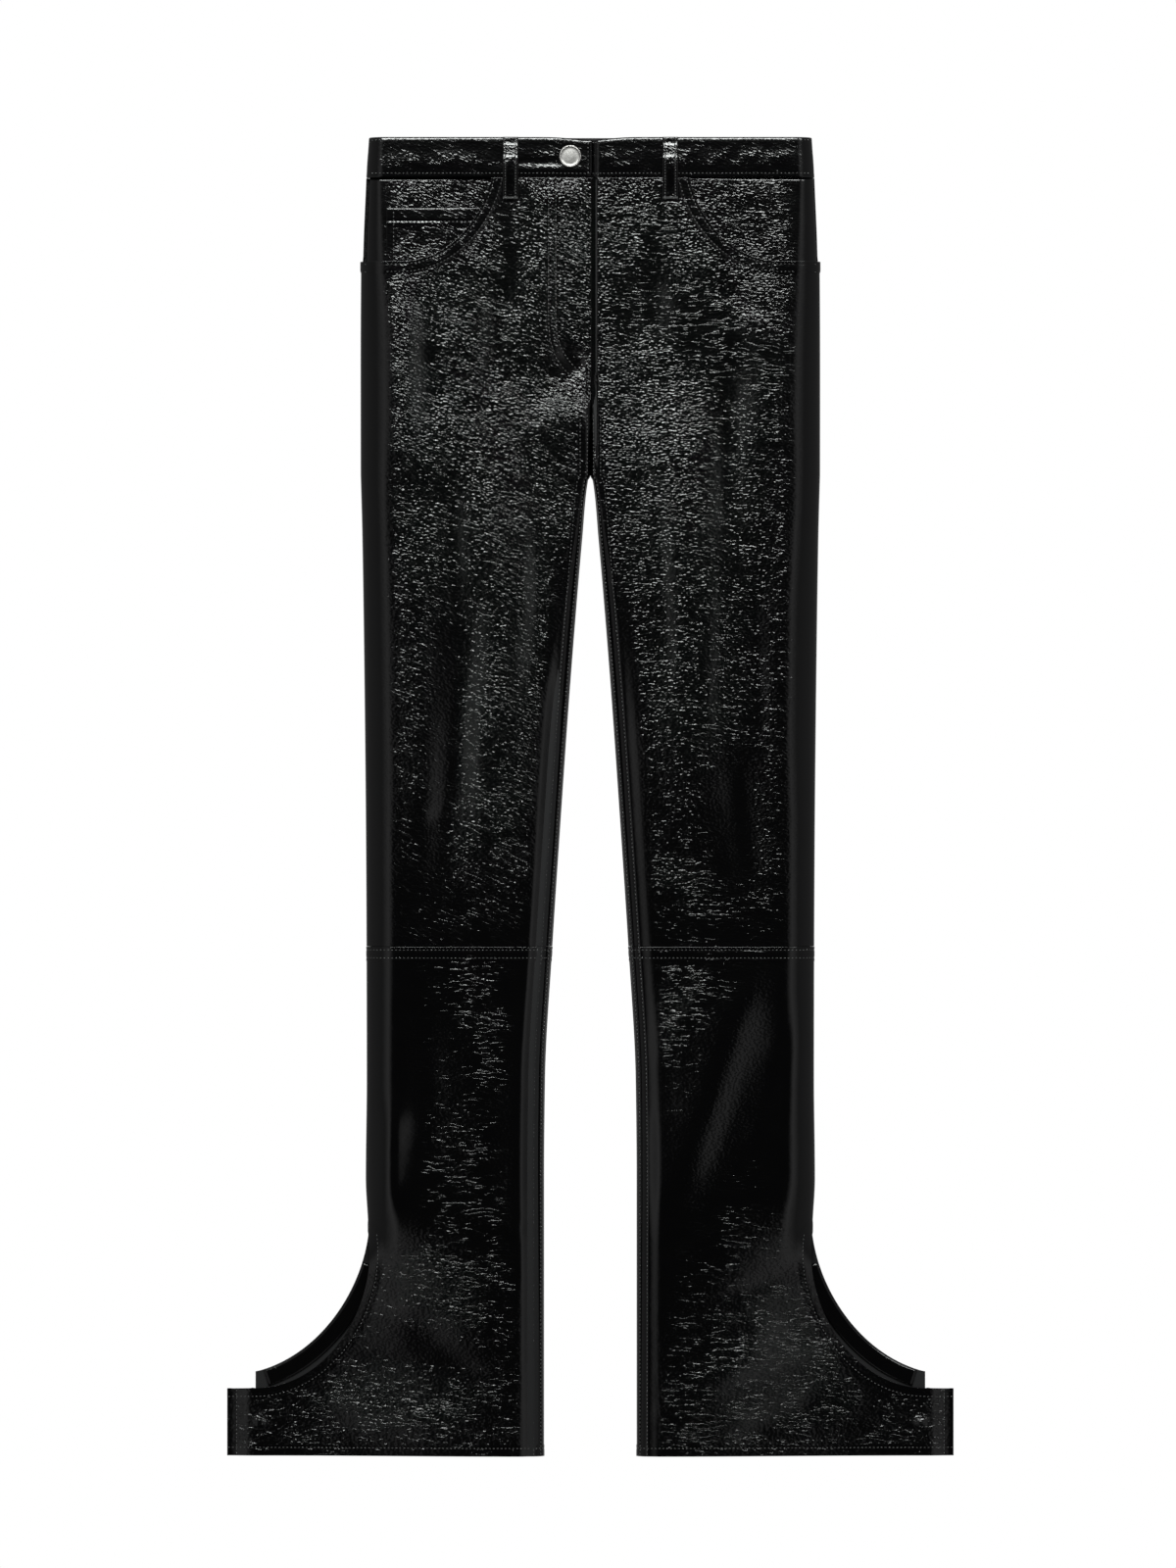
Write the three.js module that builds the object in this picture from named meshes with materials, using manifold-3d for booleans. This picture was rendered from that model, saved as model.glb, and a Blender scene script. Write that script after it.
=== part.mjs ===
// Leather trousers laid flat on their back, front side up, with the waist towards +Y.
// Every panel is a thin wall. Its outside is worked out from a table of sections down the leg,
// and the inside is the same surface moved in by the leather's thickness.
//
// Places on the trousers are written as (reach, drop): reach is the distance out from the centre
// line and drop the distance below the waist edge. side is -1 for the wearer's right leg, which
// lies on the -X side, and +1 for the wearer's left leg. All sizes are in millimetres.
import * as THREE from "three";
import { mergeVertices } from "three/addons/utils/BufferGeometryUtils.js";
import Module from "manifold-3d";

const wasm = await Module();
wasm.setup();

// Driving sizes
const LENGTH = 1115; // waist edge to hem
const LEATHER = 1.5; // one layer of leather
const SEAM = 0.3; // space between two pieces at a seam
const BAND_HEIGHT = 34;
const BAND_THICK = 3; // the waistband is two layers
const BAND_PROUD = 0.5; // the waistband stands this far above the panels it holds
const KNEE_DROP = 684; // seam across each leg
const FLY_LAP = 0.75; // the right front passes the centre line by this much
const FLY_UNDERLAP = 6.2; // the left front runs this far under the right one
const FLY_UNDER = { depth: LEATHER + SEAM + 0.3, near: 1, far: 12, from: 216, to: 244 }; // left under right
const RIGHT = -1;
const LEFT = 1;
const SIDES = [
  { side: RIGHT, name: "right" },
  { side: LEFT, name: "left" },
];

// Sections of the body and legs. outer and inner: how far the two folds lie from the centre line.
// top and near: height of the front near the outer fold and near the inner fold.
// fold: height of the outer fold's own line, where the side seam is; foldIn: the same at the inseam.
// roll: width over which the front rounds down into the outer fold; turn: the same for the back.
const SECTIONS = [
  { drop: 34, outer: 191.3, inner: 0.15, top: 22, near: 21, fold: 10.5, foldIn: 11, roll: 16, turn: 9 },
  { drop: 106, outer: 193.9, inner: 0.15, top: 26, near: 22.5, fold: 12, foldIn: 11, roll: 23, turn: 10 },
  { drop: 190, outer: 194.3, inner: 0.15, top: 29, near: 23.5, fold: 12.5, foldIn: 11, roll: 27, turn: 11 },
  { drop: 286, outer: 194.2, inner: 0.15, top: 30, near: 27, fold: 13, foldIn: 11, roll: 27, turn: 11 },
  { drop: 289, outer: 194.1, inner: 2.1, top: 30, near: 27, fold: 13, foldIn: 11, roll: 27, turn: 11 },
  { drop: 339, outer: 192.8, inner: 7.1, top: 30, near: 28, fold: 13, foldIn: 12, roll: 27, turn: 11 },
  { drop: 464, outer: 191, inner: 17.4, top: 30, near: 28.5, fold: 12.5, foldIn: 12, roll: 27, turn: 11 },
  { drop: 588, outer: 189.8, inner: 26.1, top: 29, near: 28, fold: 12, foldIn: 12, roll: 27, turn: 11 },
  { drop: 684, outer: 189.3, inner: 32.4, top: 28.5, near: 27.5, fold: 12, foldIn: 11.5, roll: 27, turn: 11 },
  { drop: 796, outer: 189.1, inner: 38.6, top: 27.5, near: 26.5, fold: 11.5, foldIn: 11, roll: 27, turn: 11 },
  { drop: 880, outer: 190, inner: 39.4, top: 26, near: 25, fold: 9.5, foldIn: 10.5, roll: 27, turn: 14 },
  { drop: 925, outer: 188, inner: 39.4, top: 24.5, near: 24, fold: 6.5, foldIn: 10, roll: 26, turn: 22 },
  { drop: 1115, outer: 188, inner: 39.4, top: 20, near: 19, fold: 6.5, foldIn: 8, roll: 26, turn: 22 },
];

// Waistband sections, with the same columns.
const BAND_SECTIONS = [
  { drop: 0, outer: 187.3, top: 20.5, near: 20, fold: 10, roll: 14, turn: 9 },
  { drop: 34, outer: 189.6, top: 22, near: 21, fold: 10.5, roll: 16, turn: 9 },
];

// Where the front comes down from the inseam's height to the tab: it starts at near and ends at far.
const EASE_DOWN = [
  { drop: 880, near: 150, far: 240 },
  { drop: 965, near: 92, far: 258 },
  { drop: 1010, near: 76, far: 264 },
  { drop: 1115, near: 60, far: 268 },
];

// Broad soft folds in the front. Each runs from its head to its tail and fades out past both; swell is
// how far it stands up, or sinks where it is negative, and spread is its half-width.
const FOLDS = [
  { side: RIGHT, head: [158, 108], tail: [156, 285], spread: 13, swell: 2.3 },
  { side: RIGHT, head: [136, 140], tail: [133, 245], spread: 15, swell: -2.4 },
  { side: RIGHT, head: [76, 118], tail: [84, 215], spread: 12, swell: -1.8 },
  { side: RIGHT, head: [44, 70], tail: [40, 190], spread: 20, swell: 1.3 },
  { side: RIGHT, head: [88, 245], tail: [70, 590], spread: 26, swell: 2.8 },
  { side: RIGHT, head: [98, 380], tail: [128, 650], spread: 15, swell: -2.6 },
  { side: RIGHT, head: [148, 350], tail: [143, 610], spread: 15, swell: 1.9 },
  { side: RIGHT, head: [42, 345], tail: [48, 465], spread: 11, swell: -2 },
  { side: RIGHT, head: [168, 825], tail: [172, 905], spread: 14, swell: 2.4 },
  { side: RIGHT, head: [142, 715], tail: [136, 880], spread: 16, swell: -2.6 },
  { side: RIGHT, head: [92, 730], tail: [88, 930], spread: 24, swell: 2 },
  { side: RIGHT, head: [150, 1000], tail: [90, 1060], spread: 18, swell: -1.8 },
  { side: RIGHT, head: [215, 1072], tail: [110, 1092], spread: 14, swell: 1.6 },
  { side: LEFT, head: [52, 105], tail: [50, 180], spread: 16, swell: -1.9 },
  { side: LEFT, head: [146, 120], tail: [150, 265], spread: 15, swell: 2.1 },
  { side: LEFT, head: [116, 195], tail: [119, 350], spread: 14, swell: -3 },
  { side: LEFT, head: [76, 235], tail: [82, 590], spread: 25, swell: 2.8 },
  { side: LEFT, head: [164, 335], tail: [160, 560], spread: 14, swell: 1.8 },
  { side: LEFT, head: [122, 520], tail: [136, 640], spread: 16, swell: -2.4 },
  { side: LEFT, head: [160, 700], tail: [86, 915], spread: 15, swell: 3.2 },
  { side: LEFT, head: [168, 735], tail: [136, 870], spread: 13, swell: -2.6 },
  { side: LEFT, head: [80, 760], tail: [70, 850], spread: 13, swell: -1.8 },
  { side: LEFT, head: [160, 1010], tail: [78, 1066], spread: 19, swell: 2.2 },
  { side: LEFT, head: [205, 1064], tail: [120, 1100], spread: 14, swell: -1.5 },
];

// Front scoop pocket: a curve from the waistband, then level to the side seam.
const POCKET_CURVE = [[83.7, BAND_HEIGHT + SEAM], [91, 68], [118, 104], [158.6, 105]];
const POCKET_LEVEL = [171, 105.2]; // where its level stretch turns into the outer fold
const BEARER_CURVE = [[72, 50], [80, 84], [110, 117], [152, 117]]; // the bearer's hidden lower edge
const BEARER_LEVEL = 117;
const BEARER_DEPTH = { right: 4.5, left: 2.5 }; // below the front's outside; the coin pocket needs room
const COIN_CURVE = [[88, 68], [90, 88], [112, 111], [152, 111.5]]; // the coin pocket's lower edge
const COIN_POCKET = { outer: 172, top: 59.7, bottom: 111.5, thick: 1.2, clear: 0.55 };

// Cut-outs over the outer ankle and the tabs below them, as curves of (reach, drop).
const FRONT_CUT = [[188, 925], [178, 985], [221, 1058], [284, 1058]];
const BACK_CUT = [[187.6, 925], [193, 975], [228, 1028], [279, 1043]];
const FRONT_TAB = { end: 307.5, top: 1058.3 };
const BACK_TAB = { end: 283.5, top: 1044 };
const TAB_HEIGHT = 4.8; // the front tab's outside, where it lies on the back tab
const TAB_STEP = [285.5, 306]; // reach over which the front tab comes down past the back tab's end
const TAB_SNAP = { reach: 280, drop: 1086, radius: 7.5, height: 1.2 };
const FACING = { width: 14, thick: 1, inset: 0.5, start: 0.17, end: 0.985 };

// Small pieces
const LOOP = { width: 12, thick: 1.8, top: 0, bottom: 54, bulge: 3.4 };
const FRONT_LOOP_REACH = 67.5;
const BACK_LOOPS = [
  { name: "back_right", x: -95 },
  { name: "back_centre", x: 0 },
  { name: "back_left", x: 95 },
];
const BACK_LIFT = 2.1; // the waist stands on its back belt loops by this much
const BUTTON = { x: -17, drop: 16.4, radius: 9.5, head: 2.6, rise: 1 };
const SHANK = { radius: 2.6, hole: 3.2, tack: 5, tackThick: 1, clear: 0.5 }; // through both band ends
const BAND_OVERLAP = 1; // the right end of the waistband passes the centre line by this much
const BAND_UNDERLAP = 34; // the left end runs this far under it
const ZIP = { left: -16, right: 8, top: 40, bottom: 188, thick: 1.2 };

const clamp = THREE.MathUtils.clamp;
const mix = THREE.MathUtils.lerp;
const smooth = (value, low, high) => THREE.MathUtils.smoothstep(value, low, high);

// Value of one column of a table at a drop, on a smooth curve that never overshoots its rows.
function at(table, column, drop) {
  const last = table.length - 1;
  const place = clamp(drop, table[0].drop, table[last].drop);
  let row = 0;
  while (row < last - 1 && place > table[row + 1].drop) row += 1;
  const slope = (i) => (table[i + 1][column] - table[i][column]) / (table[i + 1].drop - table[i].drop);
  const tangent = (i) => {
    if (i === 0 || i === last) return slope(Math.min(i, last - 1));
    const [before, after] = [slope(i - 1), slope(i)];
    return before * after <= 0 ? 0 : (2 * before * after) / (before + after);
  };
  const step = table[row + 1].drop - table[row].drop;
  const t = (place - table[row].drop) / step;
  const [v0, v1] = [table[row][column], table[row + 1][column]];
  const [m0, m1] = [tangent(row) * step, tangent(row + 1) * step];
  const [t2, t3] = [t * t, t * t * t];
  return (2 * t3 - 3 * t2 + 1) * v0 + (t3 - 2 * t2 + t) * m0 + (3 * t2 - 2 * t3) * v1 + (t3 - t2) * m1;
}

const bezier = (points) => new THREE.CubicBezierCurve(...points.map((p) => new THREE.Vector2(...p)));
const line = (from, to) => new THREE.LineCurve(new THREE.Vector2(...from), new THREE.Vector2(...to));

// Several curves end to end, read by length along them.
function path(...curves) {
  const whole = new THREE.CurvePath();
  curves.forEach((curve) => whole.add(curve));
  return whole;
}

// A point of the part from a side, a reach, a drop and a height.
const place = (side, reach, drop, height) => new THREE.Vector3(side * reach, LENGTH / 2 - drop, height);

// How far all the folds near a place raise the front.
function foldsAt(side, reach, drop) {
  let raised = 0;
  for (const fold of FOLDS) {
    if (fold.side !== side) continue;
    const [headReach, headDrop] = fold.head;
    const run = [fold.tail[0] - headReach, fold.tail[1] - headDrop];
    const from = [reach - headReach, drop - headDrop];
    const along = (from[0] * run[0] + from[1] * run[1]) / (run[0] ** 2 + run[1] ** 2);
    const share = clamp(along, 0, 1);
    const away = Math.hypot(from[0] - share * run[0], from[1] - share * run[1]);
    const fade = smooth(along, -0.15, 0.3) * (1 - smooth(along, 0.7, 1.15));
    raised += fold.swell * fade * Math.exp(-((away / fold.spread) ** 2));
  }
  return raised;
}

// Share of the way round a quarter of an ellipse: 0 at the fold, 1 where the panel lies level.
const rounding = (distance, width) => Math.sqrt(1 - (1 - clamp(distance / width, 0, 1)) ** 2);
// Drops, or reaches on the tab, between which one form eases into the next.
const SPANS = {
  crotch: [222, 246], // the inner folds begin
  innerRoll: [280, 420], // the inner fold's rounding widens
  toTab: [870, 962], // the leg settles to the tab's height
  sideOpen: [925, 960], // past the side seam's end the front and back part
  layersMeet: [860, 915], // the two layers come to lie on each other
  flatTurn: [890, 925], // the back's round turn flattens
  backLift: [60, 120], // the waist comes down from its back belt loops
  hipStep: [98, 122], // the back widens below the pocket
  calmFly: [14, 34], // no folds beside the fly
  calmTab: [235, 262], // no folds on the tab
  flyEnd: [198, 215], // the fronts stop lapping over each other
  loopLanding: [BAND_HEIGHT + 2, BAND_HEIGHT + 10], // a belt loop comes down from the band to the front
};

const INNER_ROLL = 11; // width over which a panel rounds into the inner fold
const CROTCH_ROLL = 6; // the same on the front at the crotch, where it is tighter
const innerRoll = (drop) => mix(CROTCH_ROLL, INNER_ROLL, smooth(drop, ...SPANS.innerRoll));
// The inner folds begin at the crotch: 0 in the body, 1 in the legs.
const crotch = (drop) => smooth(drop, ...SPANS.crotch);

// Height of the front's outside over the table.
function frontHeight(side, reach, drop) {
  const s = (column) => at(SECTIONS, column, drop);
  const [outer, inner] = [s("outer"), s("inner")];
  const across = clamp((Math.abs(reach) - inner) / (outer - inner), 0, 1);
  const upper = mix(s("near"), s("top"), smooth(across, 0, 1));
  const near = at(EASE_DOWN, "near", drop);
  const far = at(EASE_DOWN, "far", drop);
  const lower = mix(s("near"), TAB_HEIGHT, smooth(reach, near, far));
  const level = mix(upper, lower, smooth(drop, ...SPANS.toTab));
  const outward = rounding(outer - reach, s("roll"));
  const inward = rounding(reach - inner, innerRoll(drop));
  const apart = smooth(drop, ...SPANS.sideOpen);
  const outerFold = (level - s("fold") - SEAM / 2) * (1 - outward) * (1 - apart);
  const innerFold = (level - s("foldIn") - SEAM / 2) * (1 - inward) * crotch(drop);
  const nearFly = mix(smooth(reach, ...SPANS.calmFly), inward, crotch(drop));
  const calm = Math.min(mix(outward, 1, apart), 1 - smooth(reach, ...SPANS.calmTab), nearFly);
  const tabStep = (TAB_HEIGHT - LEATHER - SEAM) * smooth(reach, ...TAB_STEP);
  const { depth, near: flyNear, far: flyFar, from, to } = FLY_UNDER;
  const underlap = (1 - smooth(reach, flyNear, flyFar)) * (1 - smooth(drop, from, to));
  const under = side === LEFT ? depth * underlap : 0;
  return level - outerFold - innerFold + foldsAt(side, reach, drop) * calm - tabStep - under;
}

// Height of the back's outside, which lies on the table.
function backHeight(reach, drop) {
  const s = (column) => at(SECTIONS, column, drop);
  const lift = BACK_LIFT * (1 - smooth(drop, ...SPANS.backLift));
  const outer = backOuter(drop);
  const rest = clamp((outer - reach) / s("turn"), 0, 1);
  const arc = mix(1 - Math.sqrt(1 - (1 - rest) ** 2), (1 - rest) ** 2, smooth(drop, ...SPANS.flatTurn));
  const inward = rounding(reach - s("inner"), INNER_ROLL);
  const lay = 0.9 * LEATHER * smooth(drop, ...SPANS.layersMeet);
  const outerFold = (s("fold") - SEAM / 2 - lift - lay) * arc * (1 - smooth(drop, ...SPANS.sideOpen));
  const innerFold = (s("foldIn") - SEAM / 2 - lift) * (1 - inward) * crotch(drop);
  return lift + outerFold + innerFold;
}

// The back is a little narrower beside the pocket, so that the pocket's edge stands proud of it.
const HIP_STEP = 1.8;
const backOuter = (drop) => at(SECTIONS, "outer", drop) - HIP_STEP * (1 - smooth(drop, ...SPANS.hipStep));

// Reach at a share of the way across a panel: a rounded stretch at each fold and an even one between.
const SHARES = { inner: 3 / 19, outer: 14 / 19 };
function reachAcross(share, inner, outer, innerWidth, outerWidth) {
  if (share <= SHARES.inner) {
    return inner + innerWidth * (1 - Math.cos((Math.PI / 2) * (share / SHARES.inner)));
  }
  if (share >= SHARES.outer) {
    const turn = (share - SHARES.outer) / (1 - SHARES.outer);
    return outer - outerWidth * (1 - Math.sin((Math.PI / 2) * turn));
  }
  const even = (share - SHARES.inner) / (SHARES.outer - SHARES.inner);
  return mix(inner + innerWidth, outer - outerWidth, even);
}

// Inner edge of a front panel: the two fronts lap over each other at the fly.
const lapOf = (side) => (side === RIGHT ? FLY_LAP : FLY_UNDERLAP);
const lapped = (side, drop) => lapOf(side) * (1 - smooth(drop, ...SPANS.flyEnd));
const frontInner = (side, drop) => at(SECTIONS, "inner", drop) - lapped(side, drop);

// Outline of the front's upper edge, read from the fly to the side seam.
const POCKET_CORNER = 8 / 19;
const pocketPath = path(bezier(POCKET_CURVE), line(POCKET_CURVE[3], POCKET_LEVEL));
function frontTop(side, share) {
  const top = BAND_HEIGHT + SEAM;
  if (share <= POCKET_CORNER) {
    return new THREE.Vector2(mix(frontInner(side, top), POCKET_CURVE[0][0], share / POCKET_CORNER), top);
  }
  if (share <= SHARES.outer) {
    return pocketPath.getPointAt((share - POCKET_CORNER) / (SHARES.outer - POCKET_CORNER));
  }
  const turn = (share - SHARES.outer) / (1 - SHARES.outer);
  const [levelEnd, drop] = POCKET_LEVEL;
  const outer = at(SECTIONS, "outer", drop);
  return new THREE.Vector2(outer - (outer - levelEnd) * (1 - Math.sin((Math.PI / 2) * turn)), drop);
}

// Thigh front, from the waistband and pocket down to the knee seam.
const POCKET_FADE = 230; // the pocket's outline stops steering the grid this far below it
function thighFront(side) {
  return (share, down) => {
    const top = frontTop(side, share);
    const drop = mix(top.y, KNEE_DROP - SEAM / 2, down);
    const standard = (d) =>
      reachAcross(share, frontInner(side, d), at(SECTIONS, "outer", d), INNER_ROLL, at(SECTIONS, "roll", d));
    const steer = (top.x - standard(top.y)) * (1 - smooth(drop - top.y, 0, POCKET_FADE));
    const reach = standard(drop) + steer;
    return place(side, reach, drop, frontHeight(side, reach, drop));
  };
}

// Outer outline of a lower leg: down the side seam, along the cut-out, across the tab and down its end.
function legOutline(cut, tab) {
  const [cutStart, cutEnd] = [cut[0], cut[3]];
  const corner = [tab.end, Math.max(tab.top, cutEnd[1])];
  return {
    seam: (share) => {
      const drop = mix(KNEE_DROP + SEAM / 2, cutStart[1], share);
      return new THREE.Vector2(mix(at(SECTIONS, "outer", drop), cutStart[0], smooth(share, 0.94, 1)), drop);
    },
    cut: bezier(cut),
    top: line(cutEnd, corner),
    end: line(corner, [tab.end, LENGTH]),
  };
}

// Stretches of the grid down a lower leg: share of the rows, and the drop of its end at the inseam.
const LEG_ROWS = { seam: 0.45, cut: 0.8, top: 0.86 };
const LEG_DROPS = { seam: 925, cut: 1070, top: 1086 };

// A place on a lower leg, from its share across from the inseam and its share down from the knee.
function legPlace(outline, share, down, acrossShare) {
  const { seam, cut, top } = LEG_ROWS;
  let edge;
  let drop;
  if (down <= seam) {
    edge = outline.seam(down / seam);
    drop = edge.y;
  } else if (down <= cut) {
    const along = (down - seam) / (cut - seam);
    edge = outline.cut.getPointAt(along);
    drop = mix(LEG_DROPS.seam, LEG_DROPS.cut, along);
  } else if (down <= top) {
    const along = (down - cut) / (top - cut);
    edge = outline.top.getPointAt(along);
    drop = mix(LEG_DROPS.cut, LEG_DROPS.top, along);
  } else {
    const along = (down - top) / (1 - top);
    edge = outline.end.getPointAt(along);
    drop = mix(LEG_DROPS.top, LENGTH, along);
  }
  const inner = at(SECTIONS, "inner", drop);
  const outward = acrossShare(share, inner, edge.x, drop);
  const along = (outward - inner) / (edge.x - inner);
  return { reach: outward, drop: mix(drop, edge.y, along) };
}

const rollAcross = (column) => (share, inner, outer, drop) =>
  reachAcross(share, inner, outer, INNER_ROLL, at(SECTIONS, column, drop));

// Shin front, from the knee seam to the hem, with the cut-out and the longer tab.
function shinFront(side) {
  const outline = legOutline(FRONT_CUT, FRONT_TAB);
  return (share, down) => {
    const { reach, drop } = legPlace(outline, share, down, rollAcross("roll"));
    return place(side, reach, drop, frontHeight(side, reach, drop));
  };
}

// Calf back, from the knee seam to the hem, with the wider cut-out edge and the shorter tab.
function calfBack(side) {
  const outline = legOutline(BACK_CUT, BACK_TAB);
  return (share, down) => {
    const { reach, drop } = legPlace(outline, share, down, rollAcross("turn"));
    return place(side, reach, drop, backHeight(reach, drop));
  };
}

// Seat and thigh back, from the waistband to the knee seam.
function thighBack(side) {
  return (share, down) => {
    const drop = mix(BAND_HEIGHT + SEAM, KNEE_DROP - SEAM / 2, down);
    const inner = at(SECTIONS, "inner", drop);
    const reach = reachAcross(share, inner, backOuter(drop), INNER_ROLL, at(SECTIONS, "turn", drop));
    return place(side, reach, drop, backHeight(reach, drop));
  };
}

// Unit vector out of a surface of two shares. turned is 1 or -1 and picks the side it points to.
function outOf(surface, across, down, turned) {
  const step = 2e-3;
  const [a0, a1] = [Math.max(across - step, 0), Math.min(across + step, 1)];
  const [d0, d1] = [Math.max(down - step, 0), Math.min(down + step, 1)];
  const alongA = surface(a1, down).sub(surface(a0, down));
  const alongD = surface(across, d1).sub(surface(across, d0));
  return alongA.cross(alongD).normalize().multiplyScalar(-turned);
}

// The surface moved along its own outward direction.
function moved(surface, turned, distance) {
  return (across, down) =>
    surface(across, down).addScaledVector(outOf(surface, across, down, turned), distance);
}

// A closed solid whose outside is the surface and whose inside lies one thickness further in.
function wall(surface, shares, thickness, turned) {
  const { across, down } = shares;
  const under = moved(surface, turned, -thickness);
  const points = [];
  for (const layer of [surface, under]) {
    for (const d of down) {
      for (const a of across) points.push(...layer(a, d).toArray());
    }
  }
  const [wide, high] = [across.length, down.length];
  const layerSize = wide * high;
  const index = (layer, i, j) => layer * layerSize + j * wide + i;
  const faces = [];
  const quad = (a, b, c, d) => faces.push(a, b, c, a, c, d);
  for (let j = 0; j < high - 1; j += 1) {
    for (let i = 0; i < wide - 1; i += 1) {
      quad(index(0, i, j), index(0, i, j + 1), index(0, i + 1, j + 1), index(0, i + 1, j));
      quad(index(1, i, j), index(1, i + 1, j), index(1, i + 1, j + 1), index(1, i, j + 1));
    }
  }
  for (let i = 0; i < wide - 1; i += 1) {
    quad(index(0, i, 0), index(0, i + 1, 0), index(1, i + 1, 0), index(1, i, 0));
    quad(index(0, i, high - 1), index(1, i, high - 1), index(1, i + 1, high - 1), index(0, i + 1, high - 1));
  }
  for (let j = 0; j < high - 1; j += 1) {
    quad(index(0, 0, j), index(1, 0, j), index(1, 0, j + 1), index(0, 0, j + 1));
    quad(index(0, wide - 1, j), index(0, wide - 1, j + 1), index(1, wide - 1, j + 1), index(1, wide - 1, j));
  }
  if (turned < 0) faces.reverse();
  const geometry = new THREE.BufferGeometry();
  geometry.setAttribute("position", new THREE.Float32BufferAttribute(points, 3));
  geometry.setIndex(faces);
  return geometry;
}

// Even shares from 0 to 1, or shares worked out from a list of drops.
const even = (count) => Array.from({ length: count + 1 }, (_, i) => i / count);
const fromDrops = (drops) => drops.map((drop) => (drop - drops[0]) / (drops[drops.length - 1] - drops[0]));

// Drops of the grid's rows: close together at the crotch, where the panel turns most.
const BODY_ROWS = [
  ...[34, 62, 90, 118, 146, 172, 192, 206, 217, 228, 240, 262],
  ...[285.5, 289, 304, 335, 375, 420, 465, 510, 555, 600, 645, 684],
];
const BACK_ROWS = [34, 62, 90, 120, 160, 194, 208, 222, 236, 262, 285.5, 289, 315, 380, 450, 520, 600, 684];
const FRONT_ACROSS = even(19);
// The back needs no more than its two rounded edges and a few strips between.
const BACK_ACROSS = [0, 1 / 19, 2 / 19, 3 / 19, 0.35, 0.55, 14 / 19, 15.6 / 19, 17.3 / 19, 1];
const LEG_DOWN = [
  ...even(6).map((share) => share * LEG_ROWS.seam),
  ...even(9).slice(1).map((share) => mix(LEG_ROWS.seam, LEG_ROWS.cut, share)),
  ...even(2).slice(1).map((share) => mix(LEG_ROWS.cut, LEG_ROWS.top, share)),
  ...even(3).slice(1).map((share) => mix(LEG_ROWS.top, 1, share)),
];

const leather = { color: 0x0b0b0c, roughness: 0.22, metalness: 0 };
const parts = new THREE.Group();
parts.name = "leather_trousers";

// Adds one named piece to the trousers.
function add(name, geometry, finish = leather) {
  const mesh = new THREE.Mesh(geometry, new THREE.MeshStandardMaterial(finish));
  mesh.name = name;
  parts.add(mesh);
}

// Legs and body
const SHIN_ACROSS = [0, 1, 2, 3, 5, 7, 9, 11, 13, 14, 15, 16, 17, 18, 19].map((strip) => strip / 19);
const GRIDS = {
  thighFront: { across: FRONT_ACROSS, down: fromDrops(BODY_ROWS) },
  shinFront: { across: SHIN_ACROSS, down: LEG_DOWN },
  thighBack: { across: BACK_ACROSS, down: fromDrops(BACK_ROWS) },
  calfBack: { across: BACK_ACROSS, down: LEG_DOWN },
};
for (const { side, name } of SIDES) {
  add(`thigh_front_${name}`, wall(thighFront(side), GRIDS.thighFront, LEATHER, side));
  add(`shin_front_${name}`, wall(shinFront(side), GRIDS.shinFront, LEATHER, side));
  add(`thigh_back_${name}`, wall(thighBack(side), GRIDS.thighBack, LEATHER, -side));
  add(`calf_back_${name}`, wall(calfBack(side), GRIDS.calfBack, LEATHER, -side));
}

// Pocket bearers: the hip leather that shows inside each scoop, and rounds into the outer fold.
const BEARER_FLAT = 0.7; // share of the bearer's grid before it rounds down
const BEARER_ROLL = 22;
const BEARER_TURN = 0.965; // it stops just short of the whole turn
for (const { side, name } of SIDES) {
  const edge = (drop) => at(SECTIONS, "outer", drop) - 0.2;
  const lowerEnd = [edge(BEARER_LEVEL) - BEARER_ROLL, BEARER_LEVEL];
  const lower = path(bezier(BEARER_CURVE), line(BEARER_CURVE[3], lowerEnd));
  const across = [...even(6).map((n) => n * BEARER_FLAT), 0.76, 0.82, 0.88, 0.94, 1];
  const surface = (share, down) => {
    const top = BAND_HEIGHT + SEAM;
    let reach;
    let drop;
    if (share <= BEARER_FLAT) {
      const bottom = lower.getPointAt(share / BEARER_FLAT);
      const topReach = mix(BEARER_CURVE[0][0], edge(top) - BEARER_ROLL, share / BEARER_FLAT);
      drop = mix(top, bottom.y, down);
      reach = mix(topReach, bottom.x, down);
    } else {
      const turn = BEARER_TURN * ((share - BEARER_FLAT) / (1 - BEARER_FLAT));
      drop = mix(top, BEARER_LEVEL, down);
      reach = edge(drop) - BEARER_ROLL * (1 - Math.sin((Math.PI / 2) * turn));
    }
    return place(side, reach, drop, frontHeight(side, reach, drop));
  };
  const bearer = moved(surface, side, -BEARER_DEPTH[name]);
  add(`pocket_bearer_${name}`, wall(bearer, { across, down: even(6) }, LEATHER, side));
}

// Coin pocket, sewn on the right bearer with its lower edge under the scoop.
{
  const { outer, top, thick, clear } = COIN_POCKET;
  const lower = path(bezier(COIN_CURVE), line(COIN_CURVE[3], [outer, COIN_POCKET.bottom]));
  const surface = (share, down) => {
    const bottom = lower.getPointAt(share);
    const topReach = mix(COIN_CURVE[0][0], outer, share);
    const drop = mix(top, bottom.y, down);
    const reach = mix(topReach, bottom.x, down);
    return place(RIGHT, reach, drop, frontHeight(RIGHT, reach, drop));
  };
  const patch = moved(surface, RIGHT, clear + thick - BEARER_DEPTH.right);
  add("coin_pocket", wall(patch, { across: even(8), down: even(5) }, thick, RIGHT));
}

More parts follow.
